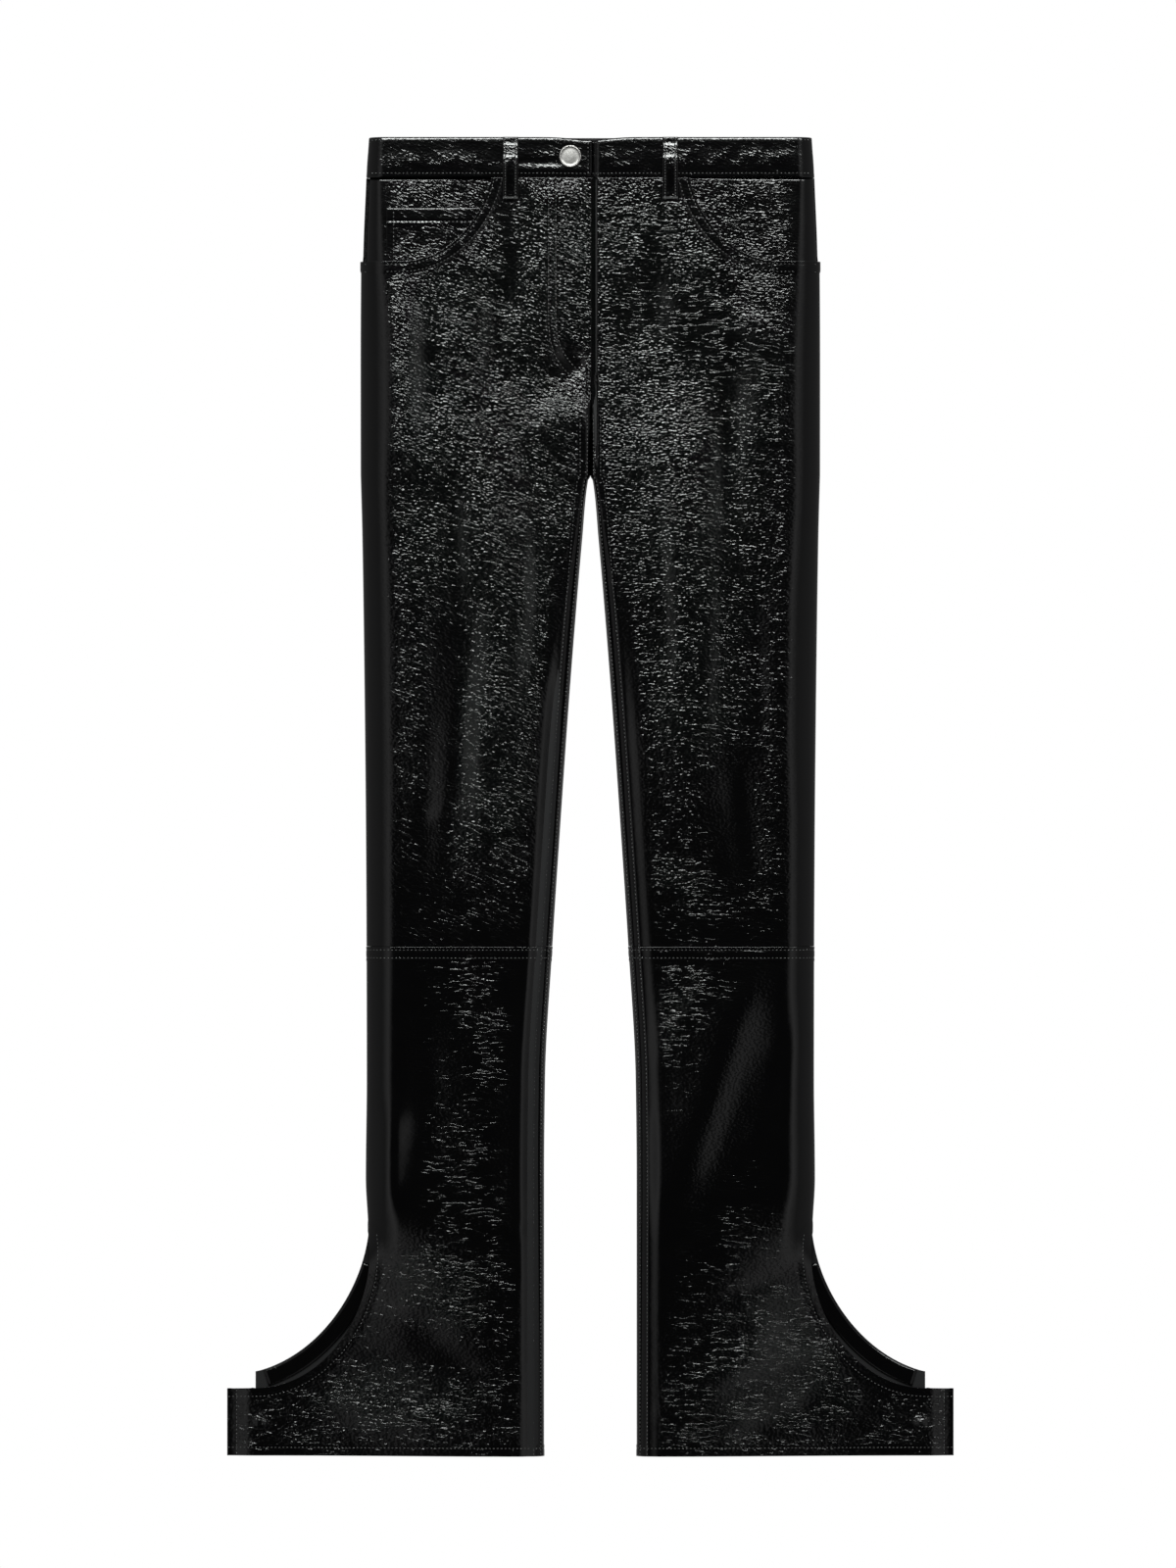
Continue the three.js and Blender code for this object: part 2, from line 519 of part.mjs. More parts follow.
// Waistband
const BAND_UNDER = { depth: BAND_THICK + SEAM + 0.1, near: 1, far: 24 }; // the left end under the right
const BAND_FLAT = 0.75; // share of the band's grid before it rounds into the outer fold
const BAND_CORNER = 5; // the lower corner of each front end is rounded
const BAND_DIP = { depth: 2.6, spread: 20 }; // the band sinks a little where its ends overlap
const bandDrop = (x, down) =>
  BAND_HEIGHT * down + BAND_DIP.depth * Math.exp(-((x / BAND_DIP.spread) ** 2)) * (1 - down);

// Height of the waistband's outside over the front.
function bandHeight(side, reach, drop) {
  const s = (column) => at(BAND_SECTIONS, column, drop);
  const level = mix(s("near"), s("top"), smooth(Math.abs(reach), 0, s("outer"))) + BAND_PROUD;
  const outward = rounding(s("outer") - reach, s("roll"));
  const { depth, near, far } = BAND_UNDER;
  const under = side === LEFT ? depth * (1 - smooth(reach, near, far)) : 0;
  return level - (level - s("fold") - SEAM / 2) * (1 - outward) - under;
}

function bandFront(side, inner) {
  return (share, down) => {
    const level = BAND_HEIGHT * down;
    const [outer, roll] = [at(BAND_SECTIONS, "outer", level), at(BAND_SECTIONS, "roll", level)];
    const corner = Math.max(level - BAND_HEIGHT + BAND_CORNER, 0);
    const start = inner + BAND_CORNER - Math.sqrt(BAND_CORNER ** 2 - corner ** 2);
    const flat = share <= BAND_FLAT;
    const turn = (share - BAND_FLAT) / (1 - BAND_FLAT);
    const reach = flat
      ? mix(start, outer - roll, share / BAND_FLAT)
      : outer - roll * (1 - Math.sin((Math.PI / 2) * turn));
    return place(side, reach, bandDrop(side * reach, down), bandHeight(side, reach, level));
  };
}

const BACK_FLAT = 0.7; // share of each half of the band's back before it rounds up to the fold
function bandBack(share, down) {
  const level = BAND_HEIGHT * down;
  const [outer, turn] = [at(BAND_SECTIONS, "outer", level), at(BAND_SECTIONS, "turn", level)];
  const half = Math.abs(2 * share - 1);
  const side = share < 0.5 ? RIGHT : LEFT;
  const arc = Math.max((half - BACK_FLAT) / (1 - BACK_FLAT), 0);
  const rounded = outer - turn + turn * Math.sin((Math.PI / 2) * arc);
  const reach = arc > 0 ? rounded : mix(0, outer - turn, half / BACK_FLAT);
  const fold = at(BAND_SECTIONS, "fold", level) - SEAM / 2;
  const height = BACK_LIFT + (fold - BACK_LIFT) * (1 - Math.cos((Math.PI / 2) * arc));
  return place(side, reach, level, height);
}

// A three.js geometry as a solid that can be cut, and the other way round.
function toSolid(geometry) {
  const bare = geometry.clone();
  for (const name of Object.keys(bare.attributes)) {
    if (name !== "position") bare.deleteAttribute(name);
  }
  const merged = mergeVertices(bare, 1e-3);
  const triVerts = new Uint32Array(merged.index.array);
  const vertProperties = new Float32Array(merged.attributes.position.array);
  return new wasm.Manifold(new wasm.Mesh({ numProp: 3, vertProperties, triVerts }));
}

function toGeometry(solid) {
  const mesh = solid.getMesh();
  const geometry = new THREE.BufferGeometry();
  geometry.setAttribute("position", new THREE.BufferAttribute(new Float32Array(mesh.vertProperties), 3));
  geometry.setIndex(new THREE.BufferAttribute(new Uint32Array(mesh.triVerts), 1));
  return geometry;
}

// Upright round bar through the button's place, to cut its hole.
function buttonBar(radius) {
  const bar = new THREE.CylinderGeometry(radius, radius, 60, 20);
  bar.rotateX(Math.PI / 2);
  bar.translate(BUTTON.x, LENGTH / 2 - BUTTON.drop, 20);
  return bar;
}

// Reaches of the band's grid: close together round the button's hole and where the left end dips.
const BAND_RIGHT_REACH = [-BAND_OVERLAP, 4, 9, 17, 26, 45, 75, 105, 140, 174];
const BAND_LEFT_REACH = [-BAND_UNDERLAP, -26, -17, -8, 1, 6, 12, 18, 24, 45, 75, 105, 140, 174];
const bandGrid = (reaches) => ({
  across: [...fromDrops(reaches).map((n) => n * BAND_FLAT), 0.8, 0.85, 0.9, 0.95, 1],
  down: [0, 0.4, 0.82, 0.9, 0.96, 1],
});
const buttonHole = toSolid(buttonBar(SHANK.hole));
const bandRight = wall(bandFront(RIGHT, -BAND_OVERLAP), bandGrid(BAND_RIGHT_REACH), BAND_THICK, RIGHT);
const bandLeft = wall(bandFront(LEFT, -BAND_UNDERLAP), bandGrid(BAND_LEFT_REACH), BAND_THICK, LEFT);
add("waistband_front_right", toGeometry(toSolid(bandRight).subtract(buttonHole)));
add("waistband_front_left", toGeometry(toSolid(bandLeft).subtract(buttonHole)));
const bandBackAcross = [0, 0.05, 0.1, 0.15, 0.3, 0.5, 0.7, 0.85, 0.9, 0.95, 1];
add("waistband_back", wall(bandBack, { across: bandBackAcross, down: even(2) }, BAND_THICK, -1));

// Button: a domed head, a shank through both ends of the waistband and a tack behind them.
{
  const seat = bandHeight(RIGHT, -BUTTON.x, BUTTON.drop);
  const under = seat - 2 * BAND_THICK - 2 * SEAM - SHANK.clear;
  const head = seat + BUTTON.rise;
  const { radius: shank, tack, tackThick } = SHANK;
  const { radius } = BUTTON;
  const profile = [
    [0, under - tackThick],
    [tack, under - tackThick],
    [tack, under],
    [shank, under],
    [shank, head],
    [radius - 0.6, head],
    [radius, head + 0.7],
    [radius, head + 1.7],
    [radius - 0.8, head + BUTTON.head],
    [radius - 1.8, head + BUTTON.head - 0.2],
    [radius - 2.6, head + BUTTON.head - 0.6],
    [0, head + BUTTON.head - 0.5],
  ].map((point) => new THREE.Vector2(...point));
  const button = new THREE.LatheGeometry(profile, 28);
  button.rotateX(Math.PI / 2);
  button.translate(BUTTON.x, LENGTH / 2 - BUTTON.drop, 0);
  add("button", button, { color: 0xc9c4be, roughness: 0.35, metalness: 1 });
}

// Zip, closed and hidden behind the fly: the two tapes and the teeth as one strip.
{
  const surface = (share, down) => {
    const x = mix(ZIP.left, ZIP.right, share);
    const drop = mix(ZIP.top, ZIP.bottom, down);
    const height =
      x < 0
        ? frontHeight(RIGHT, -x, drop) - 2 * (LEATHER + SEAM) - 0.1
        : frontHeight(LEFT, x, drop) - LEATHER - SEAM;
    return new THREE.Vector3(x, LENGTH / 2 - drop, height - 0.6);
  };
  add("zip", wall(surface, { across: even(6), down: even(8) }, ZIP.thick, LEFT), {
    color: 0x17171a,
    roughness: 0.6,
    metalness: 0.2,
  });
}

// Front belt loops stand off the waistband in a low arch, with both ends sewn down.
for (const { side, name } of SIDES) {
  const surface = (share, down) => {
    const reach = FRONT_LOOP_REACH + (share - 0.5) * LOOP.width;
    const drop = mix(LOOP.top, LOOP.bottom, down);
    const onBand = bandHeight(side, reach, Math.max(drop, 0));
    const onFront = frontHeight(side, reach, drop);
    const seat = mix(onBand, onFront, smooth(drop, ...SPANS.loopLanding));
    const arch = LOOP.bulge * smooth(down, 0.06, 0.42) * (1 - smooth(down, 0.62, 0.94));
    return place(side, reach, drop, seat + SEAM + LOOP.thick + arch);
  };
  add(`belt_loop_front_${name}`, wall(surface, { across: even(2), down: even(14) }, LOOP.thick, side));
}

// Back belt loops lie flat under the waist.
for (const { name, x } of BACK_LOOPS) {
  const length = LOOP.bottom - 0.5;
  const loop = new THREE.BoxGeometry(LOOP.width, length, LOOP.thick);
  loop.translate(x, LENGTH / 2 - 0.5 - length / 2, LOOP.thick / 2);
  add(`belt_loop_${name}`, loop);
}

// Facing: a strip on the inside of the back along each ankle cut-out.
for (const { side, name } of SIDES) {
  const edge = bezier(BACK_CUT);
  const surface = (share, down) => {
    const along = mix(FACING.start, FACING.end, down);
    const point = edge.getPointAt(along);
    const tangent = edge.getTangentAt(along);
    const inset = FACING.inset + share * FACING.width;
    const reach = point.x - tangent.y * inset;
    const drop = point.y + tangent.x * inset;
    return place(side, reach, drop, backHeight(reach, drop));
  };
  const strip = moved(surface, -side, LEATHER + 2 * SEAM + FACING.thick);
  add(`cutout_facing_${name}`, wall(strip, { across: even(2), down: even(12) }, FACING.thick, -side));
}

// Covered press studs near the tabs' ends: low leather domes.
for (const { side, name } of SIDES) {
  const { radius, height } = TAB_SNAP;
  const seat = frontHeight(side, TAB_SNAP.reach, TAB_SNAP.drop) + SEAM;
  const profile = [[0, 0], [radius, 0], [radius * 0.9, height * 0.6], [radius * 0.6, height], [0, height]];
  const dome = new THREE.LatheGeometry(profile.map((point) => new THREE.Vector2(...point)), 16);
  dome.rotateX(Math.PI / 2);
  dome.translate(side * TAB_SNAP.reach, LENGTH / 2 - TAB_SNAP.drop, seat);
  add(`tab_stud_${name}`, dome);
}

export default parts;
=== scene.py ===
"""Black crinkled patent leather trousers, laid flat on their back on a pale floor.

Places on the trousers are (side, reach, drop) in millimetres: side is -1 for the wearer's right leg
and +1 for the left, reach is the distance out from the centre line, and drop the distance below
the waist edge. Heights are above the floor.
"""

from __future__ import annotations

import logging
from dataclasses import dataclass, field, fields
from enum import Enum
from typing import Any, Callable, Sequence

import bmesh
import bpy
import numpy as np
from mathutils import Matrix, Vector

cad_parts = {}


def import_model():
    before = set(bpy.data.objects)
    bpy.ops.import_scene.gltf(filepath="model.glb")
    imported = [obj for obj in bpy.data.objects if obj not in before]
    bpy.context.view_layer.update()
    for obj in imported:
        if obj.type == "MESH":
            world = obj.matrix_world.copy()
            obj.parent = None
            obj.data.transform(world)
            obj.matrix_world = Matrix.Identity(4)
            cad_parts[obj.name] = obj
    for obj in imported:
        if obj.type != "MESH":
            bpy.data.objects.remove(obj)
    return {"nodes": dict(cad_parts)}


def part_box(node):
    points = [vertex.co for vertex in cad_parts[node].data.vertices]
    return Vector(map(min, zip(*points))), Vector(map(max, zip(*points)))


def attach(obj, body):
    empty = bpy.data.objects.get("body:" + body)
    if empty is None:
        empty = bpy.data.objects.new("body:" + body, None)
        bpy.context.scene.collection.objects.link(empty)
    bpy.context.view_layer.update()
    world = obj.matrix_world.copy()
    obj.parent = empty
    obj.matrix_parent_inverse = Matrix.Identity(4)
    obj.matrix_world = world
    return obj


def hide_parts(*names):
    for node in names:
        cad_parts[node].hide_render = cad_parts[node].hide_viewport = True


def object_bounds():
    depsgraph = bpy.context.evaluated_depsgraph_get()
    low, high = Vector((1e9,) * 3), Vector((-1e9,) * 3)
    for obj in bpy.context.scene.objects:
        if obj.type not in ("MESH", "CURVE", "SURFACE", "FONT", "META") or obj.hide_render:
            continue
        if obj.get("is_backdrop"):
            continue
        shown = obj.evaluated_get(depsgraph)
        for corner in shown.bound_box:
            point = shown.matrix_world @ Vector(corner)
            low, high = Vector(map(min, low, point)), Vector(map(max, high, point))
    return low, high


log = logging.getLogger("trousers")
Array = np.ndarray

MM = 0.001
LENGTH = 1115.0
LEATHER = 1.5
SEAM = 0.3
BAND_HEIGHT = 34.0
BAND_THICK = 3.0
KNEE_DROP = 684.0
DETAIL = "_detail"
RIGHT, LEFT = -1, 1
SIDE_NAMES = {RIGHT: "right", LEFT: "left"}


class Layer(Enum):
    """Which way the outside of a panel faces."""

    FRONT = 1
    BACK = -1


@dataclass(frozen=True)
class Section:
    """One section across a leg: where its folds lie and how high its front stands."""

    drop: float
    outer: float
    inner: float
    crown: float
    inside: float
    fold: float
    fold_in: float
    roll: float
    turn: float


@dataclass(frozen=True)
class BandSection:
    """One section along the waistband."""

    drop: float
    outer: float
    crown: float
    inside: float
    fold: float
    roll: float
    turn: float


@dataclass(frozen=True)
class EaseSection:
    """Where the front comes down from the leg's height to the tab."""

    drop: float
    near: float
    far: float


class Table:
    """Rows read at any drop, on a smooth curve that never overshoots them."""

    def __init__(self, rows: Sequence[Any]) -> None:
        """Reads the rows' fields into columns.

        Args:
            rows: dataclass rows in order of their drop.
        """
        self.drops = np.array([row.drop for row in rows])
        self.columns = {f.name: np.array([getattr(row, f.name) for row in rows]) for f in fields(rows[0])}

    def at(self, column: str, drop: Array | float) -> Array:
        """Value of a column at a drop.

        Args:
            column: the field's name.
            drop: one drop or an array of them.

        Returns:
            The value for each drop.
        """
        xs, ys = self.drops, self.columns[column]
        place = np.clip(drop, xs[0], xs[-1])
        row = np.clip(np.searchsorted(xs, place, side="left") - 1, 0, len(xs) - 2)
        slope = np.diff(ys) / np.diff(xs)
        product = slope[:-1] * slope[1:]
        total = np.where(product > 0, slope[:-1] + slope[1:], 1.0)
        inner = np.where(product > 0, 2 * product / total, 0.0)
        tangent = np.concatenate([slope[:1], inner, slope[-1:]])
        step = xs[row + 1] - xs[row]
        t = (place - xs[row]) / step
        m0, m1 = tangent[row] * step, tangent[row + 1] * step
        value = (2 * t**3 - 3 * t**2 + 1) * ys[row] + (t**3 - 2 * t**2 + t) * m0
        return value + (3 * t**2 - 2 * t**3) * ys[row + 1] + (t**3 - t**2) * m1


SECTIONS = Table([
    Section(34, 191.3, 0.02, 22, 21, 10.5, 11, 16, 9),
    Section(106, 193.9, 0.02, 26, 22.5, 12, 11, 23, 10),
    Section(190, 194.3, 0.02, 29, 23.5, 12.5, 11, 27, 11),
    Section(286, 194.2, 0.02, 30, 27, 13, 11, 27, 11),
    Section(289, 194.1, 2.1, 30, 27, 13, 11, 27, 11),
    Section(339, 192.8, 7.1, 30, 28, 13, 12, 27, 11),
    Section(464, 191, 17.4, 30, 28.5, 12.5, 12, 27, 11),
    Section(588, 189.8, 26.1, 29, 28, 12, 12, 27, 11),
    Section(684, 189.3, 32.4, 28.5, 27.5, 12, 11.5, 27, 11),
    Section(796, 189.1, 38.6, 27.5, 26.5, 11.5, 11, 27, 11),
    Section(880, 190, 39.4, 26, 25, 9.5, 10.5, 27, 14),
    Section(925, 188, 39.4, 24.5, 24, 6.5, 10, 26, 22),
    Section(1115, 188, 39.4, 20, 19, 6.5, 8, 26, 22),
])
BAND_SECTIONS = Table([
    BandSection(0, 187.3, 20.5, 20, 10, 14, 9),
    BandSection(34, 189.6, 22, 21, 10.5, 16, 9),
])
EASE_DOWN = Table([
    EaseSection(880, 150, 240),
    EaseSection(965, 92, 258),
    EaseSection(1010, 76, 264),
    EaseSection(1115, 60, 268),
])


@dataclass(frozen=True)
class Fold:
    """A soft trough or ridge from head to tail, swell high and spread across."""

    side: int
    head: tuple[float, float]
    tail: tuple[float, float]
    spread: float
    swell: float


def by_side(kind: type, table: dict[int, Sequence[tuple[float, ...]]]) -> list[Any]:
    """Folds or patches of both sides.

    Args:
        kind: Fold or Patch.
        table: rows for each side. A row holds the head's reach and drop, the tail's reach and drop,
            the spread, and then the swell of a fold, or the grain and crease of a patch.

    Returns:
        The folds or patches, in the rows' order.
    """
    return [kind(side, row[:2], row[2:4], *row[4:]) for side, rows in table.items() for row in rows]


FOLDS = by_side(Fold, {
    RIGHT: [
        (158, 108, 156, 285, 13, 1.4), (136, 140, 133, 245, 15, -1.5),
        (76, 118, 84, 215, 12, -1.3), (44, 70, 40, 190, 20, 1.3),
        (88, 245, 70, 590, 26, 2.8), (98, 380, 128, 650, 15, -1.8),
        (148, 350, 143, 610, 15, 1.3), (42, 345, 48, 465, 11, -1.2),
        (168, 815, 172, 905, 14, 2.0), (142, 715, 136, 880, 16, -1.4),
        (92, 730, 88, 930, 24, 2), (150, 1000, 90, 1060, 18, -1.1),
        (215, 1072, 110, 1092, 14, 1.6),
    ],
    LEFT: [
        (52, 105, 50, 180, 16, -1.9), (146, 120, 150, 265, 15, 1.4),
        (116, 195, 119, 350, 14, -1.8), (76, 235, 82, 590, 25, 2.8),
        (164, 335, 160, 560, 14, 1.2), (122, 520, 136, 640, 16, -1.8),
        (140, 696, 66, 915, 21, 3.3), (168, 735, 136, 870, 13, -1.0),
        (66, 775, 60, 830, 12, -0.5), (160, 1010, 78, 1066, 19, 2.2),
        (205, 1064, 120, 1100, 14, -1.5),
    ],
})

# Shallow troughs in the backs, below the seat, behind the knees and over the calves.
BACK_CREASES = by_side(Fold, {
    RIGHT: [
        (148, 186, 62, 214, 9, 0.7), (118, 262, 44, 284, 10, 0.6),
        (160, 336, 90, 322, 9, 0.5), (74, 440, 66, 560, 11, 0.5),
        (150, 590, 76, 606, 8, 0.7), (140, 632, 84, 640, 8, 0.5),
        (150, 694, 78, 676, 9, 0.6), (98, 760, 92, 880, 11, 0.5),
        (150, 930, 72, 954, 9, 0.6), (180, 1020, 84, 1036, 9, 0.6),
    ],
    LEFT: [
        (156, 196, 70, 222, 10, 0.7), (110, 274, 42, 290, 9, 0.5),
        (150, 350, 96, 344, 9, 0.5), (88, 420, 80, 530, 11, 0.5),
        (146, 578, 70, 600, 8, 0.6), (136, 624, 76, 636, 9, 0.7),
        (152, 684, 90, 690, 8, 0.5), (112, 740, 104, 850, 12, 0.5),
        (144, 944, 76, 960, 9, 0.7), (170, 1034, 80, 1044, 9, 0.5),
    ],
})

# Smaller creases that only the leather's look needs.
CREASES = by_side(Fold, {
    RIGHT: [
        (40, 196, 18, 212, 5, -0.7), (44, 236, -6, 238, 17, 2.2),
        (24, 176, 6, 200, 9, -1.2), (60, 52, -10, 50, 12, 0.8),
        (60, 240, 20, 262, 8, 0.6), (120, 118, 60, 150, 9, -0.5),
        (165, 130, 110, 150, 8, -0.5), (160, 165, 120, 182, 8, 0.5),
        (118, 285, 112, 420, 8, -0.7), (60, 290, 52, 430, 8, 0.6),
        (96, 470, 88, 610, 9, 0.7), (70, 620, 120, 668, 7, -0.5),
        (112, 560, 160, 600, 8, -0.4), (98, 700, 78, 800, 8, -0.8),
        (120, 905, 60, 925, 7, 0.8), (140, 940, 64, 962, 7, -0.7),
        (175, 985, 70, 1004, 8, 0.8), (190, 1030, 80, 1040, 7, -0.7),
        (250, 1085, 160, 1078, 6, -0.6),
    ],
    LEFT: [
        (114, 690, 40, 909, 30, 2.0), (14, 150, 30, 232, 6, 0.7),
        (30, 120, 70, 146, 8, -0.5), (92, 122, 150, 150, 8, -0.6),
        (90, 160, 160, 176, 8, 0.5), (40, 250, 66, 300, 8, 0.6),
        (58, 320, 66, 470, 8, -0.7), (100, 350, 98, 520, 9, 0.7),
        (138, 380, 142, 500, 8, -0.6), (62, 600, 110, 660, 7, -0.6),
        (112, 690, 70, 760, 8, 0.7), (140, 905, 70, 950, 8, 0.8),
        (170, 960, 66, 1000, 8, -0.8), (196, 1020, 100, 1050, 8, 0.9),
        (150, 1086, 60, 1076, 7, 0.6), (260, 1090, 190, 1080, 6, 0.6),
    ],
})

INNER_ROLL = 11.0
INNER_SHARE, OUTER_SHARE = 3 / 19, 14 / 19
TOP = BAND_HEIGHT + SEAM
POCKET_START = (83.7, TOP)
POCKET_CURVE = ((83.7, TOP), (91, 68), (118, 104), (158.6, 105))
POCKET_LEVEL = (171.0, 105.2)
POCKET_CORNER = 8 / 19
POCKET_FADE = 230.0
BEARER_CURVE = ((72, 50), (80, 84), (110, 117), (152, 117))
BEARER_LEVEL = 117.0
BEARER_DEPTH = {RIGHT: 4.5, LEFT: 2.5}
COIN_CURVE = ((88, 68), (90, 88), (112, 111), (152, 111.5))
COIN_OUTER, COIN_TOP, COIN_THICK = 172.0, 59.7, 1.2
FRONT_CUT = ((188, 925), (178, 985), (221, 1058), (284, 1058))
BACK_CUT = ((187.6, 925), (193, 975), (228, 1028), (279, 1043))
FRONT_TAB = (307.5, 1058.3)
BACK_TAB = (283.5, 1044.0)
TAB_HEIGHT = 4.8
BACK_LIFT = 2.1
FLY_LAP = {RIGHT: 0.75, LEFT: 6.2}
INNER_DIP = {RIGHT: 2.3, LEFT: 1.4}
BAND_UNDERLAP = 34.0
CUT_START, CUT_CLEAR = 925.0, 960.0
CROTCH_START, CROTCH_END = 222.0, 246.0
EASE_START, EASE_END = 870.0, 962.0
TAB_STEP_START, TAB_STEP_END = 285.5, 306.0
SHIN_CALM_START, SHIN_CALM_END = 600.0, 700.0
HEM_CREASED_START, HEM_CREASED_END = 900.0, 1010.0
THIGH_LENGTH, SHIN_TO_CUT, CUT_LENGTH, TAB_DEPTH = 650.0, 241.0, 165.0, 57.0
INSEAM_ROWS = (2.6, 8.6)
BAND_ROWS = (2.4, BAND_HEIGHT - 3.4)
STITCH_LIFT = 0.12


def mix(low: Any, high: Any, share: Any) -> Any:
    """Value a share of the way from low to high."""
    return low + (high - low) * share


def smooth(value: Any, low: Any, high: Any) -> Array:
    """0 below low, 1 above high, and an S-curve between."""
    t = np.clip((value - low) / (high - low), 0.0, 1.0)
    return t * t * (3 - 2 * t)


def rounding(distance: Any, width: Any) -> Array:
    """Share of the way round a quarter of an ellipse, from 0 at the fold to 1 where it lies level."""
    return np.sqrt(1 - (1 - np.clip(distance / width, 0.0, 1.0)) ** 2)


def inner_roll(drop: Any) -> Array:
    """Width of the front's turn into the inner fold, tight at the crotch."""
    return mix(3.0, INNER_ROLL, smooth(drop, 280, 420))


def crotch(drop: Any) -> Array:
    """0 in the body and 1 in the legs, where the inner folds begin."""
    return smooth(drop, CROTCH_START, CROTCH_END)


def folds_at(folds: Sequence[Fold], side: int, reach: Array, drop: Array) -> Array:
    """How far the folds near each place raise the front.

    Args:
        folds: the folds to add up.
        side: RIGHT or LEFT.
        reach: distances from the centre line.
        drop: distances below the waist.

    Returns:
        The raise at each place.
    """
    raised = np.zeros(np.broadcast(reach, drop).shape)
    for item in folds:
        if item.side != side:
            continue
        head, run = np.array(item.head), np.subtract(item.tail, item.head)
        along = ((reach - head[0]) * run[0] + (drop - head[1]) * run[1]) / float(run @ run)
        share = np.clip(along, 0, 1)
        away = np.hypot(reach - head[0] - share * run[0], drop - head[1] - share * run[1])
        fade = smooth(along, -0.15, 0.3) * (1 - smooth(along, 0.7, 1.15))
        raised = raised + item.swell * fade * np.exp(-((away / item.spread) ** 2))
    return raised


def front_height(side: int, reach: Array, drop: Array, creased: bool = True) -> Array:
    """Height of the front's outside.

    Args:
        side: RIGHT or LEFT.
        reach: distances from the centre line.
        drop: distances below the waist.
        creased: whether the smaller creases are added.

    Returns:
        The height at each place.
    """
    outer, inner = SECTIONS.at("outer", drop), SECTIONS.at("inner", drop)
    fold, fold_in = SECTIONS.at("fold", drop), SECTIONS.at("fold_in", drop)
    inside = SECTIONS.at("inside", drop)
    across = np.clip((np.abs(reach) - inner) / (outer - inner), 0, 1)
    upper = mix(inside, SECTIONS.at("crown", drop), smooth(across, 0, 1))
    near, far = EASE_DOWN.at("near", drop), EASE_DOWN.at("far", drop)
    lower = mix(inside, TAB_HEIGHT, smooth(reach, near, far))
    level = mix(upper, lower, smooth(drop, EASE_START, EASE_END))
    if creased:
        level = level - INNER_DIP[side] * smooth(drop, 330, 520) * (1 - smooth(reach - inner, 9, 21))
    outward = rounding(outer - reach, SECTIONS.at("roll", drop))
    inward = rounding(reach - inner, inner_roll(drop))
    apart = smooth(drop, CUT_START, CUT_CLEAR)
    outer_fold = (level - fold - SEAM / 2) * (1 - outward) * (1 - apart)
    inner_fold = (level - fold_in - SEAM / 2) * (1 - inward) * crotch(drop)
    edge = np.minimum(mix(outward, 1, apart), 1 - smooth(reach, 235, 262))
    raised = folds_at(FOLDS, side, reach, drop)
    raised = raised * np.minimum(edge, mix(smooth(reach, 14, 34), inward, crotch(drop)))
    under = 0.0
    if side == LEFT:
        under = (LEATHER + SEAM + 0.3) * (1 - smooth(reach, 1, 12)) * (1 - smooth(drop, 216, 244))
    if creased:
        small = folds_at(CREASES, side, reach, drop)
        raised = raised + small * np.minimum(edge, mix(smooth(reach, 0, 8), inward, crotch(drop)))
        if side == LEFT:
            under = 3.2 * (1 - smooth(reach, 5.1, 5.9)) * (1 - smooth(drop, 240, 285))
            under = under * mix(1, inward, crotch(drop))
    step = (TAB_HEIGHT - LEATHER - SEAM) * smooth(reach, TAB_STEP_START, TAB_STEP_END)
    return level - outer_fold - inner_fold + raised - step - under


def back_outer(drop: Array) -> Array:
    """Outer edge of the back, a little narrower beside the pocket."""
    return SECTIONS.at("outer", drop) - 1.8 * (1 - smooth(drop, 98, 122))


def back_height(reach: Array, drop: Array) -> Array:
    """Height of the back's outside, which lies on the floor.

    Args:
        reach: distances from the centre line.
        drop: distances below the waist.

    Returns:
        The height at each place.
    """
    lift = BACK_LIFT * (1 - smooth(drop, 60, 120))
    rest = np.clip((back_outer(drop) - reach) / SECTIONS.at("turn", drop), 0, 1)
    arc = mix(1 - np.sqrt(1 - (1 - rest) ** 2), (1 - rest) ** 2, smooth(drop, 890, 925))
    inward = rounding(reach - SECTIONS.at("inner", drop), INNER_ROLL)
    lay = 0.9 * LEATHER * smooth(drop, 860, 915)
    fold = SECTIONS.at("fold", drop) - SEAM / 2 - lift - lay
    fold_in = SECTIONS.at("fold_in", drop) - SEAM / 2 - lift
    return lift + fold * arc * (1 - smooth(drop, 925, 958)) + fold_in * (1 - inward) * crotch(drop)


def band_height(side: int, reach: Array, drop: Array) -> Array:
    """Height of the waistband's outside over the front.

    Args:
        side: RIGHT or LEFT.
        reach: distances from the centre line.
        drop: distances below the waist.

    Returns:
        The height at each place.
    """
    outer = BAND_SECTIONS.at("outer", drop)
    rise = smooth(np.abs(reach), 0, outer)
    level = mix(BAND_SECTIONS.at("inside", drop), BAND_SECTIONS.at("crown", drop), rise) + 0.5
    outward = rounding(outer - reach, BAND_SECTIONS.at("roll", drop))
    under = (BAND_THICK + SEAM + 0.1) * (1 - smooth(reach, 0.8, 5.5)) if side == LEFT else 0.0
    return level - (level - BAND_SECTIONS.at("fold", drop) - SEAM / 2) * (1 - outward) - under


def band_drop(x: Array, down: Array) -> Array:
    """Drop of a row of the waistband: the top edge sinks a little where the two ends overlap."""
    return BAND_HEIGHT * down + 2.6 * np.exp(-((x / 20) ** 2)) * (1 - down)


